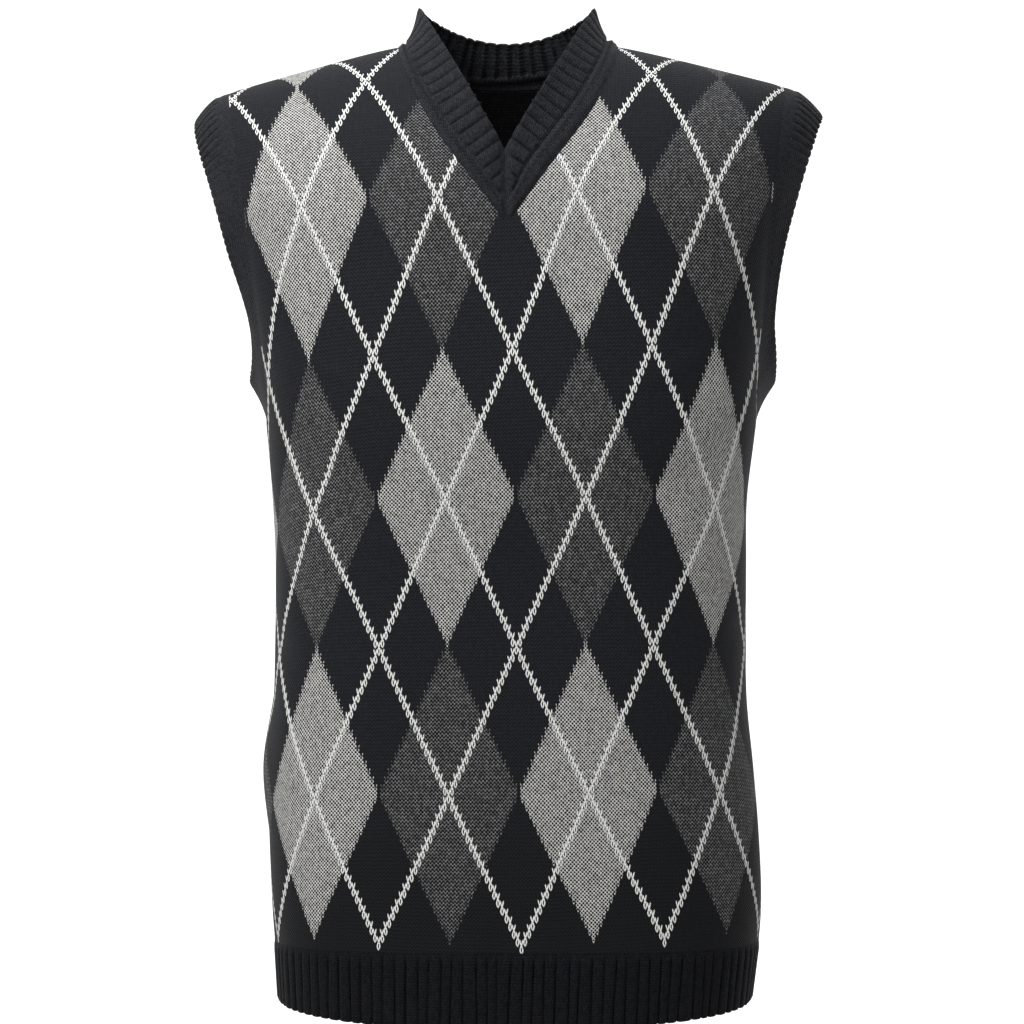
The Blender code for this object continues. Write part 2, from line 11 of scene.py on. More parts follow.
import bmesh
import bpy
import numpy as np
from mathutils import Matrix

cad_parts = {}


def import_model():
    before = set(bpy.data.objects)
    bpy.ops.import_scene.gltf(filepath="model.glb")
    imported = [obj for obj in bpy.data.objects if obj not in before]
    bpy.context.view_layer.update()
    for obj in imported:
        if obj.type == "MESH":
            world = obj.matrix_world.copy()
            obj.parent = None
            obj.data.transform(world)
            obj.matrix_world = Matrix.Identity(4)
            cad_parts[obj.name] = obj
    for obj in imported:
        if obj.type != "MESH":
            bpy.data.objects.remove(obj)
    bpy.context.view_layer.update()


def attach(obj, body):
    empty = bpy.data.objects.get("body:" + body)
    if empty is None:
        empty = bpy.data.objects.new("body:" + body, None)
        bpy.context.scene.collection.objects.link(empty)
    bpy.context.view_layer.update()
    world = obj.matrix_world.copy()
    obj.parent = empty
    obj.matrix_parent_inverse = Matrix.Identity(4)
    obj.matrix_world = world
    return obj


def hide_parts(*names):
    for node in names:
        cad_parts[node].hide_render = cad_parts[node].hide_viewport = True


MM = 0.001

# ---------------------------------------------------------------- sizes and form
WALL = 2.4 * MM
SOFT_EDGE = 0.12 * MM
SEAM_GAP = 0.02 * MM  # between the panels on the shoulders
BAND_GAP = 0.1 * MM  # between a panel and its band
SEAM_SINK = 0.6 * MM  # how deep the cloth dips where it is sewn, and how far from the seam
SIDE_DIP_REACH = 5.0 * MM
SHOULDER_DIP_REACH = 2.4 * MM
RIB_RISE = 1.15 * MM

# The body's form at each level: how far it reaches to each side, and where its middle lies, in
# millimetres. Its sections are rounded squares, squarer with a higher number.
SECTION_COLUMNS = ("level", "left", "right", "front", "back", "mid")
SECTIONS = (
    (-672.0, 162.0, 165.0, 112.0, 105.0, 0.0),
    (-628.0, 164.5, 171.0, 113.0, 109.0, 0.0),
    (-600.0, 166.6, 173.0, 112.0, 111.0, 0.0),
    (-545.0, 169.0, 170.5, 109.0, 112.0, 0.0),
    (-503.0, 170.0, 167.5, 107.0, 109.0, 0.0),
    (-461.0, 166.0, 163.5, 106.0, 105.0, 0.0),
    (-433.0, 165.0, 162.8, 106.0, 102.0, 0.0),
    (-363.0, 164.5, 163.0, 108.0, 100.0, 1.0),
    (-321.0, 166.5, 163.5, 112.0, 104.0, 2.0),
    (-279.0, 170.0, 168.5, 116.0, 110.0, 3.0),
    (-250.0, 173.0, 172.5, 117.0, 113.0, 4.0),
    (-200.0, 181.5, 178.5, 115.0, 115.0, 5.0),
    (-150.0, 194.0, 187.0, 112.0, 115.0, 6.0),
    (-100.0, 207.0, 198.0, 110.0, 113.0, 6.0),
    (0.0, 228.0, 215.0, 108.0, 108.0, 6.0),
    (60.0, 231.0, 217.0, 108.0, 108.0, 6.0),
)
SQUARENESS = {"front": 3.0, "back": 2.6}
SHOULDER_SQUARENESS = 3.0

# Soft folds, as troughs and ridges: where each runs, from its upper to its lower end, in degrees
# round from the centre of its side and millimetres of level, its half width and how far it stands
# out.
FOLD_COLUMNS = ("side", "top_angle", "top_level", "low_angle", "low_level", "half_width", "rise")
FOLDS = (
    ("front", -66.0, -262.0, -40.0, -350.0, 9.0, -2.5),
    ("front", 66.0, -255.0, 42.0, -340.0, 9.0, -2.2),
    ("front", -84.0, -455.0, -81.0, -548.0, 7.0, 3.0),
    ("front", 70.0, -470.0, 76.0, -610.0, 8.0, 2.0),
    ("front", -30.0, -520.0, -24.0, -640.0, 9.0, -1.6),
    ("back", -62.0, -250.0, -28.0, -340.0, 10.0, -3.0),
    ("back", 62.0, -250.0, 30.0, -335.0, 10.0, -3.0),
    ("back", -20.0, -380.0, -34.0, -520.0, 9.0, 2.6),
    ("back", 22.0, -400.0, 30.0, -560.0, 9.0, 2.4),
    ("back", 4.0, -330.0, -2.0, -450.0, 8.0, -2.4),
    ("front", -58.0, -222.0, -34.0, -262.0, 4.0, 0.8),
    ("front", 57.0, -214.0, 36.0, -250.0, 4.0, 0.8),
    ("front", -74.0, -300.0, -50.0, -372.0, 4.5, 0.9),
    ("front", 75.0, -296.0, 52.0, -356.0, 4.5, 0.8),
    ("front", -78.0, -395.0, -60.0, -455.0, 5.0, -0.9),
    ("front", 78.0, -392.0, 60.0, -430.0, 5.0, -0.8),
    ("front", -12.0, -560.0, -15.0, -655.0, 5.0, 0.7),
    ("front", 18.0, -545.0, 22.0, -650.0, 6.0, -0.7),
    ("front", 47.0, -520.0, 52.0, -645.0, 5.0, 0.8),
    ("front", -52.0, -500.0, -55.0, -640.0, 5.0, 0.8),
    ("back", -72.0, -290.0, -50.0, -380.0, 5.0, 1.4),
    ("back", 73.0, -285.0, 52.0, -370.0, 5.0, 1.3),
    ("back", -45.0, -420.0, -52.0, -560.0, 6.0, -1.3),
    ("back", 46.0, -440.0, 54.0, -590.0, 6.0, -1.3),
    ("back", 10.0, -470.0, 6.0, -640.0, 6.0, 1.1),
    ("back", -12.0, -520.0, -10.0, -650.0, 6.0, -1.0),
    ("back", -38.0, -200.0, -16.0, -250.0, 6.0, -1.2),
    ("back", 38.0, -205.0, 18.0, -250.0, 6.0, -1.2),
)

# Above this level the cloth turns over the shoulders, along this length of arc.
DOME_LEVEL = -140.0 * MM
DOME_ARC = 198.0 * MM
TOP_LEVEL = DOME_LEVEL + DOME_ARC
SHOULDER_SLOPES = (0.285, 0.25)  # on the left and on the right
SHOULDER_START = 71.5 * MM
SHOULDER_SOFTNESS = 22.0 * MM
SHOULDER_SEAM_REACH = 78.0 * MM

HEM_LEVEL = -661.0 * MM
HEM_DIP = 15.0 * MM  # how far the front hangs below that in its middle
HEM_DIP_TOP = -400.0 * MM
WELT_HEIGHT = 57.0 * MM
WELT_LEVEL = HEM_LEVEL + WELT_HEIGHT
WELT_DROP = 6.0 * MM  # how far the ribs start below that at the middle of a side, and at the seams
WELT_SIDE_DROP = 20.0 * MM
WELT_DROP_REACH = 90.0 * MM

NECK_SHIFT = -3.5 * MM
NECK_HALF_WIDTH = 72.0 * MM
# How far the neck's upper part spreads to the left and to the right, and down to which depths.
NECK_WIDENING = (4.0 * MM, 5.8 * MM)
WIDE_DOWN_TO = (62.0 * MM, 46.0 * MM)
WIDENING_FADE = 60.0 * MM
V_DEPTH = 136.0 * MM
V_POWER = 1.45
BACK_NECK_DEPTH = 25.0 * MM
NOTCH_DEPTH = 84.5 * MM
NOTCH_LEAN = -1.5 * MM
NECK_RIM_HALF_WIDTH = 61.5 * MM
NECK_RIM_TOP = 24.0 * MM
NECK_RIM_BACK_TOP = 6.0 * MM
NECK_RIM_FRONT_DEPTH = 100.0 * MM
NECK_RIM_BACK_DEPTH = 52.0 * MM
NECK_RIM_MID = 4.0 * MM
NECK_RIM_POWER = 1.5
CENTRE_LEAN = -0.0148  # the front's middle line leans and lies a little to one side
CENTRE_SHIFT = -4.4 * MM

# The armhole scoops in from the side seam, by this angle over this height, and then climbs.
UNDERARM_LEVEL = -270.0 * MM
SCOOP_HEIGHT = 30.0 * MM
SCOOP_ANGLE = 16.0
CLIMB_ANGLE = 5.5
CLIMB_HEIGHT = 190.0 * MM
ARM_RIM_TOPS = (-56.5 * MM, -52.0 * MM)
ARM_RIM_LOW = -238.5 * MM
ARM_RIM_FRONT = 47.0 * MM
ARM_RIM_BACK = 55.0 * MM
ARM_RIM_MID = 6.0 * MM
ARM_RIM_COLUMNS = ("level", "left", "right")
ARM_RIM = (
    (-245.0, 185.5, 185.0),
    (-222.0, 181.0, 184.0),
    (-195.0, 182.5, 182.0),
    (-153.0, 195.5, 187.0),
    (-110.0, 207.5, 198.0),
    (-68.0, 220.0, 211.0),
    (-52.0, 222.5, 217.5),
)
NECK_RIBS = 66
ARM_RIBS = 84
WELT_RIBS_EACH = 61
LAST_TURN = 84.0  # how far the dome has turned, in degrees, where the seam's own rows start
NECK_PULL = 0.34  # the share of its depth that a band runs on in its panel's direction
ARM_PULL = 0.42

# ---------------------------------------------------------------- the knitting
WALES_PER_DIAMOND = 38.0
ROWS_PER_DIAMOND = 76.0
# How the knitting lies on each side: at each height of cloth, the width that one diamond covers,
# how far the pattern's middle lies from the body's, how much its rows climb from left to right, and
# how far they sag towards the sides. All in millimetres, but for the climb, in thousandths.
SAG_REACH = 140.0 * MM
SAG_LIMIT = 1.3
LIE_COLUMNS = ("height", "width", "shift", "climb", "sag")
LIE = {
    "front": (
        (-665.0, 96.5, 7.0, 0.0, 3.0),
        (-606.0, 96.0, 6.5, 8.0, 3.0),
        (-513.0, 94.1, 4.5, 15.0, 4.0),
        (-420.0, 92.6, 3.0, 12.0, 2.0),
        (-320.0, 94.0, 2.4, 20.0, 7.0),
        (-221.0, 93.9, 0.4, 42.0, 3.0),
        (-117.0, 93.9, -3.0, 45.0, 2.0),
        (-20.0, 98.2, -2.5, 45.0, 0.0),
        (60.0, 101.0, -2.5, 45.0, 0.0),
    ),
    "back": (
        (-665.0, 96.5, 0.0, 0.0, 4.0),
        (-420.0, 93.0, 0.0, 0.0, 4.0),
        (-117.0, 94.0, -2.5, 0.0, 0.0),
        (60.0, 101.0, -3.5, 0.0, 0.0),
    ),
}
# Heights of the cloth, in millimetres, at which half diamonds follow each other, from the top down.
COURSE_COLUMNS = ("height", "diamonds")
COURSES = (
    (-699.0, 3.0),
    (-606.0, 2.5),
    (-513.0, 2.0),
    (-419.0, 1.5),
    (-319.5, 1.0),
    (-220.0, 0.5),
    (-115.5, 0.0),
    (-19.0, -0.5),
    (78.0, -1.0),
)
ROW = 2.3 * MM  # of the bands

CLOTH_STEP = 3.4 * MM  # the size of a panel's faces
HALF_COLUMNS = 72
SCOOP_ROWS = 16
BACK_NECK_ROWS = 25
SEAM_ROWS = 4
RING_ANGLES = np.linspace(-90.0, 90.0, 361)
HEIGHT_ANGLES = np.linspace(-90.0, 90.0, 61)
# How far to either side, in degrees, and up and down the places are that give the cloth's normal.
NORMAL_ANGLE = 0.4
NORMAL_STEP = 0.8 * MM


def smoothstep(share):
    """Rises gently from 0 to 1."""
    share = np.clip(share, 0.0, 1.0)
    return share * share * (3.0 - 2.0 * share)


def read_table(rows, columns, name, level):
    """The named column at these levels, on a smooth curve through a table's rows, in metres."""
    known = np.array([row[0] for row in rows]) * MM
    values = np.array([row[columns.index(name)] for row in rows]) * MM
    last = len(known) - 1
    above = np.minimum(np.arange(last + 1) + 1, last)
    below = np.maximum(np.arange(last + 1) - 1, 0)
    slopes = (values[above] - values[below]) / (known[above] - known[below])
    level = np.clip(level, known[0], known[-1])
    i = np.clip(np.searchsorted(known, level) - 1, 0, last - 1)
    span = known[i + 1] - known[i]
    share = (level - known[i]) / span
    squared = share * share
    cubed = squared * share
    return (
        (2 * cubed - 3 * squared + 1) * values[i]
        + (cubed - 2 * squared + share) * span * slopes[i]
        + (3 * squared - 2 * cubed) * values[i + 1]
        + (cubed - squared) * span * slopes[i + 1]
    )


def fold_rise(side, angle, level):
    """How far the soft folds lift the cloth here."""
    total = np.zeros(np.broadcast(angle, level).shape)
    for row in FOLDS:
        fold = dict(zip(FOLD_COLUMNS, row))
        if fold["side"] != side:
            continue
        along = (level / MM - fold["low_level"]) / (fold["top_level"] - fold["low_level"])
        along = np.clip(along, 0.0, 1.0)
        centre = fold["low_angle"] + (fold["top_angle"] - fold["low_angle"]) * along
        across = (angle - centre) / fold["half_width"]
        total = total + fold["rise"] * MM * np.exp(-across * across) * np.sin(math.pi * along)
    return total


def shoulder_line(x):
    """Height of the shoulder seam at x."""
    past = np.abs(x - NECK_SHIFT) - SHOULDER_START
    slope = np.where(x < NECK_SHIFT, SHOULDER_SLOPES[0], SHOULDER_SLOPES[1])
    return -slope * 0.5 * (np.hypot(past, SHOULDER_SOFTNESS) + past)


def body_points(side, angle, level):
    """Points on the outside of the vest. Angles run from the centre of the side, in degrees."""
    angle, level = np.broadcast_arrays(np.asarray(angle, float), np.asarray(level, float))
    sine = np.sin(np.radians(angle))
    cosine = np.maximum(np.cos(np.radians(angle)), 0.0)
    left = read_table(SECTIONS, SECTION_COLUMNS, "left", level)
    right = read_table(SECTIONS, SECTION_COLUMNS, "right", level)
    half_width = np.where(sine > 0, right, left)
    depth = read_table(SECTIONS, SECTION_COLUMNS, side, level)
    mid = read_table(SECTIONS, SECTION_COLUMNS, "mid", level)
    top_share = smoothstep((level - DOME_LEVEL) / DOME_ARC)
    power = SQUARENESS[side] + (SHOULDER_SQUARENESS - SQUARENESS[side]) * top_share
    reach = (np.abs(sine / half_width) ** power + (cosine / depth) ** power) ** (-1.0 / power)
    reach = reach + fold_rise(side, angle, level)
    facing = -1.0 if side == "front" else 1.0
    x = reach * sine
    dip = HEM_DIP * smoothstep((HEM_DIP_TOP - level) / (HEM_DIP_TOP - HEM_LEVEL))
    low_z = level - (dip * cosine if side == "front" else 0.0)
    turn = np.clip((level - DOME_LEVEL) / DOME_ARC, 0.0, 1.0) * math.pi / 2
    dome_z = DOME_LEVEL + (shoulder_line(x) - DOME_LEVEL) * np.sin(turn)
    z = np.where(level <= DOME_LEVEL, low_z, dome_z)
    return np.stack((x, mid + facing * reach * cosine * np.cos(turn), z), axis=-1)


def dome_level(turn):
    """The level at which the dome has turned by this many degrees."""
    return DOME_LEVEL + DOME_ARC * turn / 90.0


def turn_at_height(z):
    """How far the dome has turned, in degrees, where the cloth near the neck is this high."""
    return np.degrees(np.arcsin(np.clip((DOME_LEVEL - z) / DOME_LEVEL, 0.0, 1.0)))


def height_at(level):
    """The height that the dome reaches at this level next to the neck."""
    turn = (level - DOME_LEVEL) / DOME_ARC * math.pi / 2
    return DOME_LEVEL * (1.0 - math.sin(turn))


def lengths_along(points):
    """How far along a line each of its points lies."""
    steps = np.linalg.norm(np.diff(points, axis=0), axis=1)
    return np.concatenate(((0.0,), np.cumsum(steps)))


def armhole_angle(level):
    """Where the armhole seam lies at this level, in degrees from the centre of a side."""
    climb = level - UNDERARM_LEVEL
    open_share = min(max(climb / SCOOP_HEIGHT, 0.0), 1.0)
    scoop = math.sqrt(1.0 - (1.0 - open_share) ** 2)
    return 90.0 - SCOOP_ANGLE * scoop - CLIMB_ANGLE * float(smoothstep(climb / CLIMB_HEIGHT))


def neck_half_width(side, half, z):
    """Half of the neck opening at this height, to the left or to the right."""
    fade = float(smoothstep((-z - WIDE_DOWN_TO[half]) / WIDENING_FADE))
    widening = NECK_WIDENING[half] * (1.0 - fade)
    if side == "front":
        share = min(max(-z / V_DEPTH, 0.0), 1.0)
        return NECK_HALF_WIDTH * (1.0 - share**V_POWER) + widening
    share = min(max(-z / BACK_NECK_DEPTH, 0.0), 1.0)
    return (NECK_HALF_WIDTH + widening) * math.sqrt(1.0 - share * share)


def steps_between(low, high):
    """Levels from low up to high about one face apart, without the last."""
    count = max(int(math.ceil((high - low) / CLOTH_STEP)), 2)
    return list(np.linspace(low, high, count + 1)[:-1])


def panel_levels(side):
    """Levels of a panel's rows, and the places in that list of the row at the underarm and the row
    that touches the neck opening."""
    levels = steps_between(WELT_LEVEL, UNDERARM_LEVEL)
    underarm_row = len(levels)
    scoop = np.linspace(0.0, 0.5 * math.pi, SCOOP_ROWS + 1)[:-1]
    levels += list(UNDERARM_LEVEL + SCOOP_HEIGHT * (1.0 - np.cos(scoop)))
    low = dome_level(turn_at_height(-V_DEPTH if side == "front" else -BACK_NECK_DEPTH))
    levels += steps_between(UNDERARM_LEVEL + SCOOP_HEIGHT, low)
    neck_row = len(levels)
    last = dome_level(LAST_TURN)
    if side == "front":
        levels += steps_between(low, last)
    else:
        drops = BACK_NECK_DEPTH * np.cos(np.linspace(0.0, 0.5 * math.pi, BACK_NECK_ROWS + 1))
        curve = [dome_level(turn_at_height(-drop)) for drop in drops]
        levels += [level for level in curve if level < last - 0.5 * CLOTH_STEP]
    seam_turn = 90.0 - math.degrees(0.5 * SEAM_GAP / SHOULDER_SEAM_REACH)
    levels += list(np.linspace(last, dome_level(seam_turn), SEAM_ROWS))
    return levels, underarm_row, neck_row


def half_row(arcs, outer, inner):
    """Angles of one half of a row, from its outer edge to its inner one. The armhole narrows the
    columns next to it and leaves those further in where they were."""
    outer_arc, inner_arc = np.interp((outer, inner), RING_ANGLES, arcs)
    seam_arc = arcs[-1] if outer > 0 else arcs[0]
    share = np.linspace(1.0, 0.0, HALF_COLUMNS + 1)
    cut = (seam_arc - outer_arc) * smoothstep(2.0 * share - 1.0)
    kept = (seam_arc * share - cut) / outer_arc
    return np.interp(inner_arc + kept * (outer_arc - inner_arc), arcs, RING_ANGLES)


class Panel:
    """The rows of one knitted panel, from the welt up: for each half, the angle, the arc from the
    body's middle and the height of cloth of each point, from the outer edge to the inner one."""

    def __init__(self, side):
        self.side = side
        self.levels, self.underarm_row, self.neck_row = panel_levels(side)
        self.angles, self.arcs, self.heights = ([], []), ([], []), ([], [])
        heights = self.height_grid()
        for number, level in enumerate(self.levels):
            ring = body_points(side, RING_ANGLES, level)
            along = lengths_along(ring)
            arcs = along - along[len(along) // 2]
            edge = armhole_angle(level)
            middle = ring[len(ring) // 2][2]
            if number > self.neck_row:
                low, high = (neck_half_width(side, half, height_at(level)) for half in (0, 1))
                inner = (NECK_SHIFT - low, NECK_SHIFT + high)
            elif number == self.neck_row or side == "back":
                inner = (NECK_SHIFT, NECK_SHIFT)
            else:
                inner = (CENTRE_SHIFT + CENTRE_LEAN * middle,) * 2
            inner_angles = np.interp(inner, ring[:, 0], RING_ANGLES)
            body_middle = np.interp(0.0, ring[:, 0], arcs)
            for half, outer in ((0, -edge), (1, edge)):
                angles = half_row(arcs, outer, inner_angles[half])
                self.angles[half].append(angles)
                self.arcs[half].append(np.interp(angles, RING_ANGLES, arcs) - body_middle)
                self.heights[half].append(np.interp(angles, HEIGHT_ANGLES, heights[number]))

    def height_grid(self):
        """The height of cloth of each row: its level below the shoulders, and on from there along
        the cloth as it turns over them."""
        levels = np.array(self.levels)
        start = int(np.searchsorted(levels, DOME_LEVEL))
        grid = body_points(self.side, HEIGHT_ANGLES, levels[:, None])
        heights = np.repeat(levels[:, None], len(HEIGHT_ANGLES), axis=1)
        steps = np.linalg.norm(np.diff(grid, axis=0), axis=2)
        heights[start + 1 :] = heights[start] + np.cumsum(steps[start:], axis=0)
        return heights

    def drops(self, half):
        """How far each point of one half lies below its row's level, so that the lowest row follows
        the line where the ribs start."""
        sway = 1.0 - np.cos(np.radians(np.array(self.angles[half])))
        share = 1.0 - smoothstep((np.array(self.levels)[:, None] - WELT_LEVEL) / WELT_DROP_REACH)
        return (WELT_DROP + (WELT_SIDE_DROP - WELT_DROP) * sway) * share

    def points(self, half):
        """The places of one half, as rows of points from the outer edge to the middle."""
        levels = np.array(self.levels)[:, None] - self.drops(half)
        return body_points(self.side, np.array(self.angles[half]), levels)

    def stitches(self, half):
        """The stitch counts of one half: wales from the pattern's middle, and rows."""
        heights = np.array(self.heights[half]) - self.drops(half)
        width, shift, climb, sag = (
            read_table(LIE[self.side], LIE_COLUMNS, name, heights) for name in LIE_COLUMNS[1:]
        )
        across = np.array(self.arcs[half]) - shift
        sway = np.minimum(np.abs(across) / SAG_REACH, SAG_LIMIT) ** 4
        up = heights - climb * across + sag * sway
        diamonds = read_table(COURSES, COURSE_COLUMNS, "diamonds", up) / MM
        return np.stack((across / width * WALES_PER_DIAMOND, -diamonds * ROWS_PER_DIAMOND), axis=-1)

    def normals(self, half):
        """The outward direction of the cloth at each point of one half."""
        levels = np.minimum(np.array(self.levels), TOP_LEVEL - NORMAL_STEP)[:, None]
        angles = np.clip(self.angles[half], NORMAL_ANGLE - 90.0, 90.0 - NORMAL_ANGLE)
        right = body_points(self.side, angles + NORMAL_ANGLE, levels)
        left = body_points(self.side, angles - NORMAL_ANGLE, levels)
        above = body_points(self.side, angles, levels + NORMAL_STEP)
        below = body_points(self.side, angles, levels - NORMAL_STEP)
        normals = np.cross(right - left, above - below) * (1.0 if self.side == "front" else -1.0)
        return normals / np.linalg.norm(normals, axis=-1, keepdims=True)


def grid_normals(points):
    """The direction square to a grid of points, from its columns to its rows."""
    normals = np.cross(np.gradient(points, axis=1), np.gradient(points, axis=0))
    return normals / np.linalg.norm(normals, axis=-1, keepdims=True)


def add_grid(tool, points, stitches, outward, ribs=None):
    """Adds a sheet of cloth: a plain grid, each of whose corners is then put in its place. The
    outward direction turns the faces the right way. Ribs gives how ribbed the cloth is there, and
    how high on its rib each corner lies."""
    if (grid_normals(points) * outward).sum() < 0:
        points = points[:, ::-1]
        stitches = stitches[:, ::-1]
        ribs = ribs[:, ::-1] if ribs is not None else None
    rows, columns = points.shape[:2]
    made = bmesh.ops.create_grid(tool, x_segments=columns - 1, y_segments=rows - 1, size=0.5)
    uv = tool.loops.layers.uv.get("stitches") or tool.loops.layers.uv.new("stitches")
    relief = tool.loops.layers.uv.new("ribs") if ribs is not None else None
    for vert in made["verts"]:
        column = round((vert.co.x + 0.5) * (columns - 1))
        row = round((vert.co.y + 0.5) * (rows - 1))
        for loop in vert.link_loops:
            loop[uv].uv = stitches[row, column]
            if relief:
                loop[relief].uv = ribs[row, column]
        vert.co = points[row, column]


def finish_cloth(name, tool, material, even=True, inside=None):
    """Welds the sheet's halves and ends, and gives it a wall with slightly rounded edges, and its
    own look on the inside where there is one."""
    bmesh.ops.remove_doubles(tool, verts=tool.verts, dist=0.01 * MM)
    mesh = bpy.data.meshes.new(name)
    tool.to_mesh(mesh)
    tool.free()
    mesh.shade_smooth()
    mesh.materials.append(material)
    piece = bpy.data.objects.new(name, mesh)
    bpy.context.scene.collection.objects.link(piece)
    wall = piece.modifiers.new("wall", "SOLIDIFY")
    wall.thickness = WALL
    wall.offset = -1.0
    wall.use_even_offset = even
    if inside:
        mesh.materials.append(inside)
        wall.material_offset = 1
        wall.material_offset_rim = 1
    edge = piece.modifiers.new("soft_edge", "BEVEL")
    edge.width = SOFT_EDGE
    edge.segments = 2
    edge.harden_normals = True
    edge.limit_method = "ANGLE"
    edge.angle_limit = math.radians(60.0)
    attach(piece, "root")
    return piece


def seam_dip(distance, reach):
    """How the cloth dips towards a seam, from 1 on it to nothing past this reach."""
    return np.exp(-((distance / reach) ** 2))


def add_panel(name, panel, material, inside):
    """One argyle panel. Its side seams and shoulder seams sink a little where they are sewn."""
    tool = bmesh.new()
    for half in (0, 1):
        normals = panel.normals(half)
        arcs = np.array(panel.arcs[half])
        heights = np.array(panel.heights[half])
        at_side = seam_dip(np.abs(arcs - arcs[:, :1]), SIDE_DIP_REACH)
        at_shoulder = seam_dip(heights[-1:] - heights, SHOULDER_DIP_REACH)
        sink = SEAM_SINK * (at_side + at_shoulder)
        points = panel.points(half) - normals * sink[..., None]
        add_grid(tool, points, panel.stitches(half), normals)
    return finish_cloth(name, tool, material, inside=inside)


# ---------------------------------------------------------------- ribbed bands
LEVEL = np.array((1.0, 1.0, 0.0))  # leaves out a direction's height
WALES_PER_RIB = 3.0
SEAM_PLACES = 2400  # how finely places on a seam and on a rim are counted
LINE_PLACES = 361
RIB_ROUNDNESS = 3.6
LOWEST_CREST = 0.85
CREST_SPREAD = 0.6


def rib_shape(phase):
    """The height of a rib across its width: a broad round crest and a narrow groove."""
    part = phase - np.floor(phase)
    return 1.0 - np.abs(2.0 * part - 1.0) ** RIB_ROUNDNESS


def uneven(count, seed, size):
    """A smooth random wave over the ribs, so that no two are quite alike."""
    values = np.random.default_rng(seed).normal(0.0, size, count)
    return lambda at: np.interp(at % count, np.arange(count + 1), np.append(values, values[0]))


def crest_heights(phase, count, seed):
    """How high the crest of each rib stands."""
    return LOWEST_CREST + (1.0 - LOWEST_CREST) * uneven(count, seed, CREST_SPREAD)(np.floor(phase))


def towards_rim(across, start):
    """Rises from 0 at this share of a band's depth to 1 on its rim."""
    return np.clip((across - start) / (1.0 - start), 0.0, 1.0)


def smooth_directions(directions, seam, reach):
    """Directions along a closed seam, each averaged with those that lie within reach of it."""
    arcs = lengths_along(np.vstack((seam, seam[:1])))
    places = arcs[:-1]
    apart = np.abs(places[:, None] - places[None, :])
    apart = np.minimum(apart, arcs[-1] - apart)
    weights = np.clip(1.0 - apart / reach, 0.0, None)
    mean = weights @ directions
    return mean / np.linalg.norm(mean, axis=1)[:, None]


def outward_from_panel(seam, normals, towards):
    """At each point of a closed seam, the direction in which its panel would run on."""
    along = np.roll(seam, -1, axis=0) - np.roll(seam, 1, axis=0)
    out = np.cross(along, normals)
    out /= np.linalg.norm(out, axis=1)[:, None]
    signs = np.sign(np.einsum("ij,ij->i", out, towards - seam))
    return out * signs[:, None]


def along_line(points, arcs, wanted):
    """Points at these lengths along a line."""
    return np.stack([np.interp(wanted, arcs, points[:, axis]) for axis in range(3)], axis=-1)


def around(values, arcs, shares):
    """Values on a closed line at these shares of its length."""
    return along_line(np.vstack((values, values[:1])), arcs, (shares % 1.0) * arcs[-1])


def even_line(curve):
    """A function that reads a curve evenly along its length."""
    points = np.array([curve(share) for share in np.linspace(0.0, 1.0, LINE_PLACES)])
    arcs = lengths_along(points)
    return lambda share: along_line(points, arcs, np.asarray(share) * arcs[-1])


def edge_of(panel, half, column, rows):
    """One edge of a panel, or some of its rows, as points and outward directions."""
    return panel.points(half)[rows, column], panel.normals(half)[rows, column]


def leave_seam(edges, towards, ease, columns):
    """Where a band leaves its seam, which runs round an opening along edges of the panels. Gives
    the seam's points, how far along it each lies, the places of the band's columns as shares of the
    whole way round, and each column's first point and direction."""
    seam = np.vstack([points for points, _ in edges])
    normals = np.vstack([normals for _, normals in edges])
    outs = smooth_directions(outward_from_panel(seam, normals, towards), seam, ease)
    arcs = lengths_along(np.vstack((seam, seam[:1])))
    shares = np.linspace(0.0, 1.0, columns + 1)
    out = around(outs, arcs, shares)
    out /= np.linalg.norm(out, axis=1)[:, None]
    return seam, arcs, shares, around(seam, arcs, shares) + out * BAND_GAP, out


def band_surface(start, outs, rim, shares, pull):
    """Rows of points across a band, from its seam, on in the panel's direction, to its rim."""
    bend = start + outs * (np.linalg.norm(rim - start, axis=1)[:, None] * pull)
    return np.array([(1 - s) ** 2 * start + 2 * s * (1 - s) * bend + s * s * rim for s in shares])


def band_normals(points, outward):
    """The outward direction at each point of a band, told from roughly where outward is."""
    normals = grid_normals(points)
    return normals * np.sign((normals * outward).sum())


def places_on_seam(points, shares, seam, arcs, turn):
    """For each point of a band, how far along the seam its nearest point lies. Columns before the
    turn, given as a share of the way round, look to the seam before it, and the others to the
    rest."""
    fine = np.linspace(0.0, 1.0, SEAM_PLACES)
    line = around(seam, arcs, fine)
    places = np.zeros(points.shape[:2])
    first = shares <= turn
    for columns, near in ((first, fine <= turn), (~first, fine >= turn)):
        for row, found in zip(points, places):
            gaps = ((row[columns][:, None, :] - line[near][None, :, :]) ** 2).sum(axis=2)
            found[columns] = fine[near][gaps.argmin(axis=1)]
    return places


def raise_band(points, normals, lift, scallop):
    """The points of a band that runs round an opening, raised by lift, and moved towards the rim by
    scallop. Its last column meets its first."""
    down = np.gradient(points, axis=0)
    down /= np.linalg.norm(down, axis=2, keepdims=True)
    shaped = points + normals * lift[..., None] + down * scallop[..., None]
    shaped[:, -1] = shaped[:, 0]
    return shaped


def add_band(name, points, stitches, normals, relief, material, even=True):
    """A ribbed sheet that stands in for its solid."""
    tool = bmesh.new()
    add_grid(tool, points, stitches, normals, relief)
    piece = finish_cloth(name + "_cloth", tool, material, even=even)
    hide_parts(name)
    return piece


NECK_COLUMNS = 820
NECK_ROWS = 40
NECK_EASE = 22.0 * MM
NECK_RIB_RISE = 1.35 * RIB_RISE
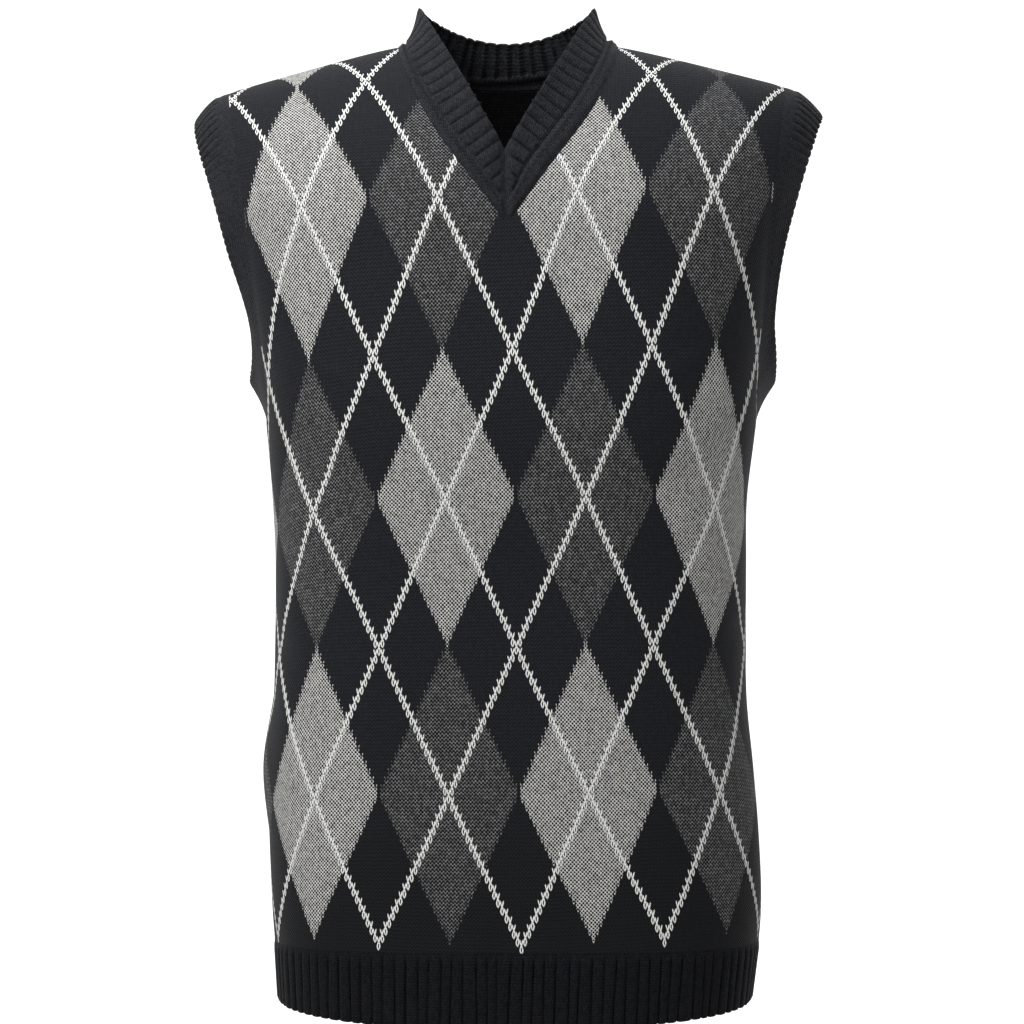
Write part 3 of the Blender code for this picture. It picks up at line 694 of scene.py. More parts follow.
# Across the band, on its right and on its left: the middle of the roll and its half width, the line
# of chain stitches, where the ribs start, and how far the roll stands out.
ROLL_PLACES = (0.20, 0.125)
ROLL_HALF_WIDTHS = (0.155, 0.105)
CHAIN_PLACES = (0.30, 0.19)
RIBS_FROM = (0.385, 0.265)
ROLL_RISES = (2.1 * MM, 1.0 * MM)
RIBS_GROW = 0.10  # shares of the band's depth, as the places above
GROOVE_WIDTH = 0.03
CHAIN_HALF_WIDTH = 0.055
CHAIN_SLANT = 9.0  # how many stitches the chain's dashes lean over the band's depth
CHAIN_RISE = 0.9 * MM
CHAIN_STITCH = 3.3 * MM
GROOVE_DEPTH = 0.5 * MM  # where the ribs meet the chain
MITRE_REACH = 40.0 * MM
MITRE_FADE = 5.0 * MM  # how far from the mitre the ribs end
MITRE_QUARTER = 0.25  # the share of the way round in which the mitre is looked for
LEFT_FADE = 30.0 * MM  # how far from the mitre the left arm's narrower roll is reached
NECK_RIM_ROUNDING = 0.9 * MM
NECK_SCALLOP = 1.0 * MM


def neck_rim(share, side):
    """The neckband's free edge, from the notch or the centre back (0) to the shoulder (1)."""
    turn = 0.5 * math.pi * share
    if side == "front":
        height = -NOTCH_DEPTH + (NECK_RIM_TOP + NOTCH_DEPTH) * math.sin(turn)
        depth = -NECK_RIM_FRONT_DEPTH * max(math.cos(turn), 0.0) ** NECK_RIM_POWER
    else:
        height = NECK_RIM_BACK_TOP + (NECK_RIM_TOP - NECK_RIM_BACK_TOP) * math.sin(turn) ** 2
        depth = NECK_RIM_BACK_DEPTH * math.cos(turn)
    half_width = NECK_RIM_HALF_WIDTH * math.sin(turn)
    return np.array((half_width, NECK_RIM_MID + depth, height))


def whole_neck_rim(shares, right_shoulder, back_middle, left_shoulder):
    """The neckband's free edge at these shares of the way round, in which the other three are the
    places of its shoulders and its back's middle."""
    left = shares > back_middle
    folded = np.where(left, 1.0 - shares, shares)
    shoulder = np.where(left, 1.0 - left_shoulder, right_shoulder)
    half_way = np.where(left, 1.0 - back_middle, back_middle)
    on_front = folded <= shoulder
    front_rim = even_line(lambda share: neck_rim(share, "front"))
    back_rim = even_line(lambda share: neck_rim(share, "back"))
    rim = np.where(
        on_front[:, None],
        front_rim(np.clip(folded / shoulder, 0.0, 1.0)),
        back_rim(np.clip((half_way - folded) / (half_way - shoulder), 0.0, 1.0)),
    )
    rim[left, 0] *= -1.0
    from_notch = np.minimum(np.abs(rim[:, 0]) / NECK_RIM_HALF_WIDTH, 1.0)
    rim[:, 0] += NECK_SHIFT + np.where(on_front, NOTCH_LEAN * (1.0 - from_notch), 0.0)
    return rim


def neck_relief(points, across, shares, place, total, back_middle):
    """The neckband's roll, chain and ribs, which end at the mitre: how far each point is raised and
    how far it moves towards the rim, the places counted in ribs, and a UV map that says how ribbed
    the cloth is and how high on its rib it lies."""
    phase = place * NECK_RIBS
    ribs = rib_shape(phase + uneven(NECK_RIBS, 3, 0.05)(phase))
    from_mitre = np.linalg.norm(points[:, :, :2] - points[:, :1, :2], axis=2)
    at_mitre = np.minimum(shares, 1.0 - shares) <= MITRE_QUARTER
    mitre = np.where(at_mitre, smoothstep(from_mitre / MITRE_FADE), 1.0)
    leftness = smoothstep((shares - back_middle) / 0.1 + 0.5)
    leftness = leftness * smoothstep((1.0 - shares) * total / LEFT_FADE)

    def from_side(values):
        return values[0] + (values[1] - values[0]) * leftness

    past_ribs_start = across - from_side(RIBS_FROM)
    past_chain = across - from_side(CHAIN_PLACES)
    grown = smoothstep(past_ribs_start / RIBS_GROW) * mitre
    lift = NECK_RIB_RISE * ribs * grown * crest_heights(phase, NECK_RIBS, 5)
    roll = np.exp(-(((across - from_side(ROLL_PLACES)) / from_side(ROLL_HALF_WIDTHS)) ** 4))
    lift = lift + from_side(ROLL_RISES) * roll * (0.25 + 0.75 * mitre)
    groove = np.exp(-((past_ribs_start / GROOVE_WIDTH) ** 2)) * mitre
    lift = lift - GROOVE_DEPTH * groove * (1.0 - 0.6 * leftness)
    in_chain = np.exp(-((past_chain / CHAIN_HALF_WIDTH) ** 2)) * mitre
    slant = np.where(shares > back_middle, -1.0, 1.0) * past_chain * CHAIN_SLANT
    dash = 0.5 + 0.5 * np.sin(2.0 * math.pi * (place * total / CHAIN_STITCH + slant))
    lift = lift + CHAIN_RISE * in_chain * dash
    lift = lift - NECK_RIM_ROUNDING * towards_rim(across, 0.92) ** 2
    scallop = NECK_SCALLOP * (ribs - 0.5) * smoothstep(towards_rim(across, 0.8)) * mitre
    relief = np.stack((np.maximum(grown, in_chain), ribs + (dash - ribs) * in_chain), axis=-1)
    return lift, scallop, phase, relief


def add_neckband(front, back, material):
    """The ribbed V neckband: flat where it is linked on, then a roll of chain stitches, then ribs.
    It runs from the point of the V up the right arm, round the back and down the left arm."""
    edges = (
        edge_of(front, 1, -1, slice(front.neck_row, None)),
        edge_of(back, 1, -1, slice(None, back.neck_row - 1, -1)),
        edge_of(back, 0, -1, slice(back.neck_row + 1, None)),
        edge_of(front, 0, -1, slice(None, front.neck_row, -1)),
    )
    centre = np.array((NECK_SHIFT, NECK_RIM_MID, NECK_RIM_TOP))
    seam, arcs, shares, start, out = leave_seam(edges, centre, NECK_EASE, NECK_COLUMNS)
    total = arcs[-1]
    counts = np.cumsum([len(points) for points, _ in edges])
    right_shoulder, left_shoulder = arcs[counts[0]] / total, arcs[counts[2]] / total
    back_middle = arcs[counts[1] - 1] / total
    rim = whole_neck_rim(shares, right_shoulder, back_middle, left_shoulder)
    # Next to the mitre the cloth runs straight to the rim, so that the arms meet and don't cross.
    straight = rim - start
    straight /= np.linalg.norm(straight, axis=1)[:, None]
    along_seam = np.minimum(shares, 1.0 - shares) * total
    out[:, 0] += (straight - out)[:, 0] * (1.0 - smoothstep(along_seam / MITRE_REACH))
    across = np.linspace(0.0, 1.0, NECK_ROWS + 1)
    points = band_surface(start, out, rim, across, NECK_PULL)
    across = across[:, None]
    normals = band_normals(points, (points - centre) * LEVEL)

    # Each rib runs square to the seam, so that those of the two arms meet at the mitre.
    place = places_on_seam(points, shares, seam, arcs, back_middle)
    lift, scallop, phase, relief = neck_relief(points, across, shares, place, total, back_middle)
    depth = np.linalg.norm(rim - start, axis=1)
    stitches = np.stack((phase * WALES_PER_RIB, across * depth / ROW), axis=-1)
    shaped = raise_band(points, normals, lift, scallop)
    piece = add_band("neckband", shaped, stitches, normals, relief, material, even=False)


ARM_COLUMNS_EACH = 9
ARM_ROWS = 22
ARM_EASE = 16.0 * MM
ARM_RIB_TILTS = (2.0 * MM, 7.0 * MM)  # how far the ribs near the shoulder rise from seam to rim
ARM_RIBS_FROM = 0.26
ARM_RIBS_GROW = 0.12
# The ribs run square to the seam over the shoulder and fade to faint ones at the underarm.
ARM_SQUARE_REACH = 60.0 * MM
ARM_SQUARE_FADE = 80.0 * MM
ARM_CLEAR_REACH = 45.0 * MM
ARM_CLEAR_FADE = 60.0 * MM
ARM_FAINT = 0.22
ARM_RIM_ROUNDING = 0.7 * MM
ARM_SCALLOP = 0.9 * MM
ARM_INSIDE = 100.0 * MM  # how far from the middle a point surely lies inside the shoulder


def arm_rim(share, half):
    """The armband's free edge: share 0 at the underarm, 0.5 on the shoulder, the front between."""
    turn = 2.0 * math.pi * share
    rim_top = ARM_RIM_TOPS[half]
    z = 0.5 * (rim_top + ARM_RIM_LOW) - 0.5 * (rim_top - ARM_RIM_LOW) * math.cos(turn)
    depth = -(ARM_RIM_FRONT if math.sin(turn) > 0 else ARM_RIM_BACK) * math.sin(turn)
    reach = float(read_table(ARM_RIM, ARM_RIM_COLUMNS, ("left", "right")[half], z))
    return np.array((reach if half else -reach, ARM_RIM_MID + depth, z))


def add_armband(name, half, front, back, material):
    """A ribbed band round one armhole, from the underarm up the front and down the back: flat where
    it is linked on, then ribs up to a scalloped edge."""
    edges = (
        edge_of(front, half, 0, slice(front.underarm_row, None)),
        edge_of(back, half, 0, slice(None, back.underarm_row - 1, -1)),
    )
    # A point out past the middle of the rim.
    beyond = (arm_rim(0.0, half) + arm_rim(0.5, half)) * np.array((0.575, 0.5, 0.5))
    columns = ARM_RIBS * ARM_COLUMNS_EACH
    seam, arcs, shares, start, out = leave_seam(edges, beyond, ARM_EASE, columns)
    total = arcs[-1]
    top = arcs[len(edges[0][0])] / total
    up = even_line(lambda share: arm_rim(0.5 * share, half))
    down = even_line(lambda share: arm_rim(0.5 + 0.5 * share, half))
    rising = shares <= top
    rim = np.where(
        rising[:, None],
        up(np.clip(shares / top, 0.0, 1.0)),
        down(np.clip((shares - top) / (1.0 - top), 0.0, 1.0)),
    )
    across = np.linspace(0.0, 1.0, ARM_ROWS + 1)
    points = band_surface(start, out, rim, across, ARM_PULL)
    across = across[:, None]
    middle = 0.5 * (ARM_RIM_TOPS[half] + ARM_RIM_LOW)
    inner = np.array((ARM_INSIDE if half else -ARM_INSIDE, ARM_RIM_MID, middle))
    normals = band_normals(points, points - inner)
    place = places_on_seam(points, shares, seam, arcs, top)
    from_top = np.abs(shares - top) * total
    square = 1.0 - smoothstep((from_top - ARM_SQUARE_REACH) / ARM_SQUARE_FADE)
    tilt = np.where(rising, -1.0, 1.0) * ARM_RIB_TILTS[half] / total * across
    phase = (shares + (place + tilt - shares) * square) * ARM_RIBS
    ribs = rib_shape(phase + uneven(ARM_RIBS, 11 + half, 0.05)(phase))
    clear = 1.0 - smoothstep((from_top - ARM_CLEAR_REACH) / ARM_CLEAR_FADE)
    clear = ARM_FAINT + (1.0 - ARM_FAINT) * clear
    grown = smoothstep((across - ARM_RIBS_FROM) / ARM_RIBS_GROW) * clear
    lift = RIB_RISE * ribs * grown * crest_heights(phase, ARM_RIBS, 17 + half)
    depth = np.linalg.norm(rim - start, axis=1)
    lift = lift - SEAM_SINK * seam_dip(across * depth, SIDE_DIP_REACH)
    lift = lift - ARM_RIM_ROUNDING * towards_rim(across, 0.92) ** 2
    scallop = ARM_SCALLOP * (ribs - 0.5) * smoothstep(towards_rim(across, 0.8))
    stitches = np.stack((phase * WALES_PER_RIB, across * depth / ROW), axis=-1)
    relief = np.stack((grown, ribs), axis=-1)
    shaped = raise_band(points, normals, lift, scallop)
    piece = add_band(name, shaped, stitches, normals, relief, material)


WELT_COLUMNS_EACH = 10
WELT_ROWS = 22
WELT_RIB_RISE = 1.25 * RIB_RISE
WELT_RIBS_FROM = 0.01
WELT_RIBS_GROW = 0.12
WELT_SEAM_FADE = 8.0  # over how many ribs from a side seam they rise to full height
WELT_RIM_ROUNDING = 0.8 * MM
WELT_SCALLOP = 0.6 * MM
WELT_SEEDS = {"front": 23, "back": 29}


def add_welt(name, panel, material):
    """The ribbed welt below one panel, on from the panel's lowest row."""
    left, right = (panel.points(half)[0] for half in (0, 1))
    edge = np.vstack((left, right[-2::-1]))
    arcs = lengths_along(edge)
    foot_ring = body_points(panel.side, RING_ANGLES, HEM_LEVEL)
    foot_arcs = lengths_along(foot_ring)
    shares = np.linspace(0.0, 1.0, WELT_RIBS_EACH * WELT_COLUMNS_EACH + 1)
    top_line = along_line(edge, arcs, shares * arcs[-1])
    foot_line = along_line(foot_ring, foot_arcs, shares * foot_arcs[-1])
    top_line[:, 2] -= BAND_GAP
    across = np.linspace(0.0, 1.0, WELT_ROWS + 1)[:, None]
    points = top_line[None] * (1.0 - across[..., None]) + foot_line[None] * across[..., None]
    normals = band_normals(points, points * LEVEL)
    seed = WELT_SEEDS[panel.side]
    phase = np.repeat((shares * WELT_RIBS_EACH)[None, :], len(across), axis=0)
    inside = np.minimum(phase, WELT_RIBS_EACH - phase)
    wobble = uneven(WELT_RIBS_EACH, seed, 0.07)(phase)
    lean = uneven(WELT_RIBS_EACH, seed + 1, 0.10)(phase)
    ribs = rib_shape(phase + (wobble + lean * across) * smoothstep(inside / 1.5))
    grown = smoothstep((across - WELT_RIBS_FROM) / WELT_RIBS_GROW)
    grown = grown * (0.55 + 0.45 * smoothstep(inside / WELT_SEAM_FADE))
    lift = WELT_RIB_RISE * ribs * grown * crest_heights(phase, WELT_RIBS_EACH, seed + 2)
    lift = lift - WELT_RIM_ROUNDING * towards_rim(across, 0.94) ** 2
    shaped = points + normals * lift[..., None]
    shaped[..., 2] -= WELT_SCALLOP * (ribs - 0.5) * smoothstep(towards_rim(across, 0.9))
    rows = np.broadcast_to(-across * WELT_HEIGHT / ROW, phase.shape)
    stitches = np.stack((phase * WALES_PER_RIB, rows), axis=-1)
    relief = np.stack((grown, ribs), axis=-1)
    piece = add_band(name, shaped, stitches, normals, relief, material)


# ---------------------------------------------------------------- materials
SMOOTH = {"interpolation_type": "SMOOTHSTEP"}  # settings of a node that maps a range
COLOURS = {"data_type": "RGBA"}  # and of one that mixes colours, or multiplies them
MULTIPLIED = {"data_type": "RGBA", "blend_type": "MULTIPLY"}


def linear(code):
    """A hex colour as linear red, green, blue and alpha."""
    parts = [int(code[k : k + 2], 16) / 255.0 for k in (1, 3, 5)]
    return (*((p / 12.92 if p <= 0.04045 else ((p + 0.055) / 1.055) ** 2.4) for p in parts), 1.0)


def add_node(tree, kind, *inputs, output=0, **settings):
    """Adds a shader node with its settings, and links or sets those of its inputs that are then in
    use, in their own order."""
    made = tree.nodes.new("ShaderNode" + kind)
    for name, value in settings.items():
        setattr(made, name, value)
    for socket, value in zip([socket for socket in made.inputs if socket.enabled], inputs):
        if isinstance(value, bpy.types.NodeSocket):
            tree.links.new(value, socket)
        elif value is not None:
            socket.default_value = value
    return [socket for socket in made.outputs if socket.enabled][output]


def new_wool(name, gloss):
    """Wool is matt: rough, with little gloss, and a faint sheen from the fibres that stand off the
    yarn. Gives the material and a function that adds a node to it."""
    material = bpy.data.materials.new(name)
    material.use_nodes = True
    shader = material.node_tree.nodes["Principled BSDF"]
    shader.inputs["Roughness"].default_value = 0.7
    shader.inputs["Specular IOR Level"].default_value = gloss
    shader.inputs["Sheen Weight"].default_value = 0.03
    shader.inputs["Sheen Roughness"].default_value = 0.5
    return material, partial(add_node, material.node_tree)


def finish_wool(material, colour, relief, strength, depth):
    """Gives the material its colour, and stitches that stand out this far."""
    tree = material.node_tree
    shader = tree.nodes["Principled BSDF"]
    bump = add_node(tree, "Bump", strength, depth, None, relief)
    tree.links.new(colour, shader.inputs["Base Color"])
    tree.links.new(bump, shader.inputs["Normal"])


def from_whole(node, value):
    """The signed distance to the nearest whole number."""
    whole = node("Math", value, operation="ROUND")
    return node("Math", value, whole, operation="SUBTRACT")


def bumps(node, count):
    """A round bump from each whole number to the next."""
    part = node("Math", count, operation="FRACT")
    turn = node("Math", part, math.pi, operation="MULTIPLY")
    return node("Math", turn, operation="SINE")


# Sizes in stitches. A panel's stitch is 2.5 mm wide and high, and a band's 2.3 mm high.
UNEVEN = 0.5  # how far the stitches stray from their lines
STRAY_SCALE = 0.16  # one sway in about six stitches
LEG_LIFT = 0.5  # how many rows a stitch's legs rise from its middle to its sides
TIP_LIFT = 1.6  # how many rows a stitch's tips reach past its middle
GAP_EDGE = 0.47  # the round gaps between the legs, in parts of the way to the next gap
GAP_CORE = 0.27
GAP_SPREAD = 0.16  # how much wider the widest gaps are


def stitch_places(node):
    """Where a place lies in plain knitting, whose stitches each have two legs that rise from the
    middle: its counts across and up, its wale, how far it lies right of the wale's middle and how
    far away on either side, and how many rows up its leg."""
    uv = node("UVMap", uv_map="stitches")
    stray = node("TexNoise", uv, STRAY_SCALE, 1.0, output=1)
    stray = node("VectorMath", stray, (-0.5, -0.5, 0.0), operation="ADD")
    place = node("VectorMath", stray, (UNEVEN, UNEVEN, 0.0), uv, operation="MULTIPLY_ADD")
    across, up = node("SeparateXYZ", place).node.outputs[:2]
    wale = node("Math", across, operation="ROUND")
    off = node("Math", across, wale, operation="SUBTRACT")
    away = node("Math", off, operation="ABSOLUTE")
    rise = node("Math", away, -2.0 * LEG_LIFT, up, operation="MULTIPLY_ADD")
    return SimpleNamespace(across=across, up=up, wale=wale, off=off, away=away, rise=rise)


def stitch_gaps(node, at):
    """How deep the gaps between the legs are, for their bumps and their painted shade. They lie in
    the middle of each stitch and, half a row on, between two wales: at whole numbers of rows along
    one diagonal and along the other."""
    rising = node("Math", at.up, at.across, operation="ADD")
    falling = node("Math", at.up, at.across, operation="SUBTRACT")
    near = node("CombineXYZ", from_whole(node, rising), from_whole(node, falling), 0.0)
    near = node("VectorMath", near, operation="LENGTH")
    rising = node("Math", rising, operation="ROUND")
    falling = node("Math", falling, operation="ROUND")
    width = node("TexWhiteNoise", node("CombineXYZ", rising, falling, 9.0))
    width = node("MapRange", width, 0.5, 1.0, **SMOOTH)
    width = node("Math", width, -GAP_SPREAD, 1.0, operation="MULTIPLY_ADD")
    near = node("Math", near, width, operation="MULTIPLY")
    return node("MapRange", near, GAP_EDGE, GAP_CORE, **SMOOTH)


def leg_chance(node, at, seed):
    """A random number for each leg of each stitch."""
    right = node("Math", at.off, 0.0, operation="GREATER_THAN")
    leg = node("Math", right, seed, operation="ADD")
    row = node("Math", at.rise, operation="FLOOR")
    return node("TexWhiteNoise", node("CombineXYZ", at.wale, row, leg))


def fibres(node, at, per_stitch, stretch):
    """Fine fibres and flecks in the yarn, this many to a stitch across, and drawn out upwards."""
    up = node("Math", at.up, stretch, operation="MULTIPLY")
    place = node("CombineXYZ", at.across, up, 0.0)
    return node("TexNoise", place, per_stitch, 3.0, 0.6)


CHAIN_TIP = -1.9  # where a white stitch starts, its waist and its end, in rows
CHAIN_WAIST = 2.1
CHAIN_TOP = 3.7
CHAIN_LOOP = 0.29  # how wide its loop opens, in wales
CHAIN_ARM = 0.04  # how far apart its arms start, and how much further they spread
CHAIN_SPREAD = 0.40
CHAIN_YARN = 0.19  # half of its yarn's width
CHAIN_SHADE = 0.2  # how far its shade reaches past the yarn
CHAIN_CLIMB = ROWS_PER_DIAMOND / WALES_PER_DIAMOND
LAST_ROW = -2.5 * ROWS_PER_DIAMOND  # the pattern's last row, above the welt
ON_YARN = 0.02


def chain(node, wale, away, up, sign):
    """One line of white stitches that climbs two rows a wale: in each wale a loop, closed at its
    waist, with two arms above it. Gives how far the white yarn stands out, and its shade."""
    start = node("Math", up, 0.5 * ROWS_PER_DIAMOND, operation="SUBTRACT")
    slant = node("Math", wale, CHAIN_CLIMB * sign, start, operation="MULTIPLY_ADD")
    turns = from_whole(node, node("Math", slant, 1.0 / ROWS_PER_DIAMOND, operation="MULTIPLY"))
    rise = node("Math", turns, ROWS_PER_DIAMOND, -CHAIN_TIP, operation="MULTIPLY_ADD")
    loop = node("Math", rise, 1.0 / CHAIN_WAIST, operation="MULTIPLY", use_clamp=True)
    loop = node("Math", loop, math.pi, operation="MULTIPLY")
    loop = node("Math", loop, operation="SINE")
    loop = node("Math", loop, CHAIN_LOOP, operation="MULTIPLY")
    arm = node("Math", rise, CHAIN_WAIST, operation="SUBTRACT")
    arm_share = 1.0 / (CHAIN_TOP - CHAIN_WAIST)
    arm = node("Math", arm, arm_share, operation="MULTIPLY", use_clamp=True)
    arm = node("Math", arm, CHAIN_SPREAD, CHAIN_ARM, operation="MULTIPLY_ADD")
    reach = node("Math", arm, loop, operation="ADD")
    apart = node("Math", away, reach, operation="SUBTRACT")
    apart = node("Math", apart, operation="ABSOLUTE")
    foot = node("MapRange", rise, -0.2, 0.35, **SMOOTH)
    head = node("MapRange", rise, CHAIN_TOP + 0.2, CHAIN_TOP - 0.3, **SMOOTH)
    ends = node("Math", foot, head, operation="MULTIPLY")
    first_row = node("Math", up, rise, operation="SUBTRACT")
    above = node("Math", first_row, LAST_ROW + CHAIN_TIP - 0.5, operation="GREATER_THAN")
    ends = node("Math", ends, above, operation="MULTIPLY")
    width = node("Math", ends, CHAIN_YARN, 0.001, operation="MULTIPLY_ADD")
    share = node("Math", apart, width, operation="DIVIDE")
    share = node("Math", share, share, operation="MULTIPLY")
    yarn = node("Math", 1.0, share, operation="SUBTRACT", use_clamp=True)
    seen = node("Math", ends, ON_YARN, operation="GREATER_THAN")
    yarn = node("Math", yarn, seen, operation="MULTIPLY")
    shade = node("MapRange", apart, CHAIN_YARN + CHAIN_SHADE, CHAIN_YARN, **SMOOTH)
    return yarn, node("Math", shade, ends, operation="MULTIPLY")


def overcheck(node, at):
    """The white lines: chains that climb to either side, drawn in their own wale and where their
    yarn reaches into the next."""
    side = node("Math", at.off, operation="SIGN")
    next_wale = node("Math", at.wale, side, operation="ADD")
    next_away = node("Math", 1.0, at.away, operation="SUBTRACT")
    yarn = shade = 0.0
    for sign in (1.0, -1.0):
        for wale, away in ((at.wale, at.away), (next_wale, next_away)):
            stands, dims = chain(node, wale, away, at.up, sign)
            yarn = node("Math", yarn, stands, operation="MAXIMUM")
            shade = node("Math", shade, dims, operation="MAXIMUM")
    return yarn, shade


DIAMOND_EDGE = 0.497  # just under a half, so that tips end on a whole stitch


def diamonds(node, at):
    """Which stitches lie in a diamond, and which of those in a light one. Every stitch has one
    colour, so that the edges step in wales and rows."""
    row = node("Math", at.away, -2.0 * TIP_LIFT, at.up, operation="MULTIPLY_ADD")
    row = node("Math", row, operation="FLOOR")
    column = node("Math", at.wale, 1.0 / WALES_PER_DIAMOND, operation="MULTIPLY")
    tier = node("Math", row, 0.5, operation="ADD")
    tier = node("Math", tier, 1.0 / ROWS_PER_DIAMOND, operation="MULTIPLY")
    from_column = from_whole(node, node("Math", column, 0.5, operation="ADD"))
    from_column = node("Math", from_column, operation="ABSOLUTE")
    from_tier = node("Math", from_whole(node, tier), operation="ABSOLUTE")
    apart = node("Math", from_column, from_tier, operation="ADD")
    inside = node("Math", apart, DIAMOND_EDGE, operation="LESS_THAN")
    above = node("Math", row, LAST_ROW - 0.5, operation="GREATER_THAN")
    inside = node("Math", inside, above, operation="MULTIPLY")
    column = node("Math", column, operation="FLOOR")
    tier = node("Math", tier, operation="ROUND")
    tier = node("Math", tier, 0.0, operation="MINIMUM")
    number = node("Math", column, tier, operation="ADD")
    parity = node("Math", number, 2.0, operation="FLOORED_MODULO")
    return inside, node("Math", parity, 0.5, operation="LESS_THAN")


def argyle_jersey():
    """Wool jersey, machine knitted: diamonds of light grey marl and charcoal marl on black, with a
    white overcheck. Marl is spun from two tones, so its legs are flecked at random, and dark gaps
    show between them, deepened by painted shade. Black shows its legs faintly, and white lies on
    top as thick chains. Painted shade also darkens the dips between the legs, the ground round the
    white yarn and its edges, and the black towards the welt."""
    material, node = new_wool("argyle_jersey_knit", 0.12)
    at = stitch_places(node)
    inside, light = diamonds(node, at)
    yarn, shade = overcheck(node, at)
    leg = bumps(node, at.rise)
    chance = leg_chance(node, at, 0.0)
    fine = fibres(node, at, 2.2, 1.0)  # 1.1 mm
    wool = fibres(node, at, 0.9, 0.6)  # 2.8 mm

    speck = node("Math", fine, 0.8, operation="MULTIPLY")
    speck = node("Math", chance, 0.4, speck, operation="MULTIPLY_ADD")
    speck = node("MapRange", speck, 0.2, 1.0, **SMOOTH)
    light_marl = node("Mix", speck, linear("#d8d7d4"), linear("#acaba7"), **COLOURS)
    # The charcoal's flecks also darken towards each leg's ends: painted shade where the legs meet.
    fleck = node("Math", chance, 0.6, 0.35, operation="MULTIPLY_ADD")
    fleck = node("Math", fleck, leg, operation="MULTIPLY")
    fleck = node("Math", fleck, fine, operation="MULTIPLY")
    charcoal_marl = node("Mix", fleck, linear("#101012"), linear("#afafb1"), **COLOURS)
    tone = node("MapRange", wool, 0.3, 0.8, **SMOOTH)
    black = node("Mix", tone, linear("#17181c"), linear("#1f2026"), **COLOURS)
    # Painted shade: the black darkens over the lowest rows, towards the welt.
    low = node("MapRange", at.up, -1.5 * ROWS_PER_DIAMOND, -2.6 * ROWS_PER_DIAMOND, **SMOOTH)
    black = node("Mix", low, black, linear("#121316"), **COLOURS)
    marl = node("Mix", light, charcoal_marl, light_marl, **COLOURS)
    colour = node("Mix", inside, black, marl, **COLOURS)

    # Painted shade: the dips between the legs and the gaps between them are darkened, and so is the
    # ground round the white yarn.
    between = node("Math", 1.0, leg, operation="SUBTRACT")
    between = node("Math", between, 0.22, operation="MULTIPLY")
    gaps = node("Math", inside, 0.7, 0.3, operation="MULTIPLY_ADD")
    gaps = node("Math", stitch_gaps(node, at), gaps, operation="MULTIPLY")
    dark = node("Math", between, gaps, operation="MAXIMUM")
    shade = node("Math", shade, 0.9, operation="MULTIPLY")
    dark = node("Math", dark, shade, operation="MAXIMUM")
    colour = node("Mix", dark, colour, linear("#08080a"), **MULTIPLIED)

    white_tone = node("MapRange", fine, 0.35, 0.75, **SMOOTH)
    white = node("Mix", white_tone, linear("#f8f8f5"), linear("#e0e0dc"), **COLOURS)
    # Painted shade: the white yarn darkens towards its edges.
    painted_yarn_edge_shade = node("MapRange", yarn, 0.35, 0.0, **SMOOTH)
    white = node("Mix", painted_yarn_edge_shade, white, linear("#8b8b88"), **MULTIPLIED)
    on_white = node("Math", yarn, ON_YARN, operation="GREATER_THAN")
    colour = node("Mix", on_white, colour, white, **COLOURS)

    gaps = node("Math", gaps, 0.6, operation="MULTIPLY")
    relief = node("Math", leg, 0.6, operation="MULTIPLY")
    relief = node("Math", relief, gaps, operation="SUBTRACT")
    relief = node("Math", yarn, 1.2, relief, operation="MULTIPLY_ADD")
    relief = node("Math", fine, 0.25, relief, operation="MULTIPLY_ADD")
    finish_wool(material, colour, relief, 0.8, 0.5 * MM)
    return material


def jersey_inside():
    """The reverse of wool jersey: the backs of the stitches show as small dark bumps in rows, some
    lighter where a yarn of the pattern is carried across them."""
    material, node = new_wool("jersey_inside_knit", 0.12)
    at = stitch_places(node)
    row = bumps(node, at.up)
    carried = node("MapRange", leg_chance(node, at, 3.0), 0.55, 1.0, **SMOOTH)
    colour = node("Mix", carried, linear("#17181b"), linear("#26272a"), **COLOURS)
    # Painted shade between the rows of bumps.
    between = node("Math", 1.0, row, operation="SUBTRACT")
    colour = node("Mix", between, colour, linear("#55555a"), **MULTIPLIED)
    finish_wool(material, colour, row, 0.7, 0.4 * MM)
    return material


def black_rib(name, dark, light, gloss):
    """Black wool, knitted in ribs: each rib's crest catches the light, and the grooves between stay
    dark, with painted shade in them and in the gaps between the stitches. The welt's copy has
    darker colours, painted shade for the hem, and shines the least."""
    material, node = new_wool(name, gloss)
    at = stitch_places(node)
    fine = fibres(node, at, 1.6, 0.8)  # 2 mm
    tone = node("Math", leg_chance(node, at, 5.0), 0.4, fine, operation="MULTIPLY_ADD")
    tone = node("MapRange", tone, 0.3, 1.1, **SMOOTH)
    colour = node("Mix", tone, linear(dark), linear(light), **COLOURS)
    grown, height = node("SeparateXYZ", node("UVMap", uv_map="ribs")).node.outputs[:2]
    # Painted shade in the grooves between the ribs and in the gaps between the stitches.
    groove = node("MapRange", height, 0.80, 0.10, **SMOOTH)
    groove = node("Math", groove, grown, operation="MULTIPLY")
    gaps = node("Math", stitch_gaps(node, at), 0.5, operation="MULTIPLY")
    painted_rib_shade = node("Math", groove, gaps, operation="MAXIMUM")
    colour = node("Mix", painted_rib_shade, colour, linear("#101012"), **MULTIPLIED)
    relief = node("Math", bumps(node, at.rise), 0.6, operation="MULTIPLY")
    relief = node("Math", fine, 0.8, relief, operation="MULTIPLY_ADD")
    finish_wool(material, colour, relief, 0.9, 0.5 * MM)
    return material


# ---------------------------------------------------------------- studio
CAMERA_DISTANCE = 2.4
CAMERA_LEVEL = -0.329
VIEW_WIDTH = 0.7168  # what the camera sees across at the vest's middle
FLOOR_LEVEL = -1.3
FLOOR_REACH = 20.0
WALL_PLACE = 3.6
WALL_REACH = 7.0
WALL_TOP = 4.5
FLOOR_SHADE = 0.7
WALL_SHADE = 0.8
WALL_GLOW = 0.75
AMBIENT = 0.5
WHITE = (1.0, 1.0, 1.0)


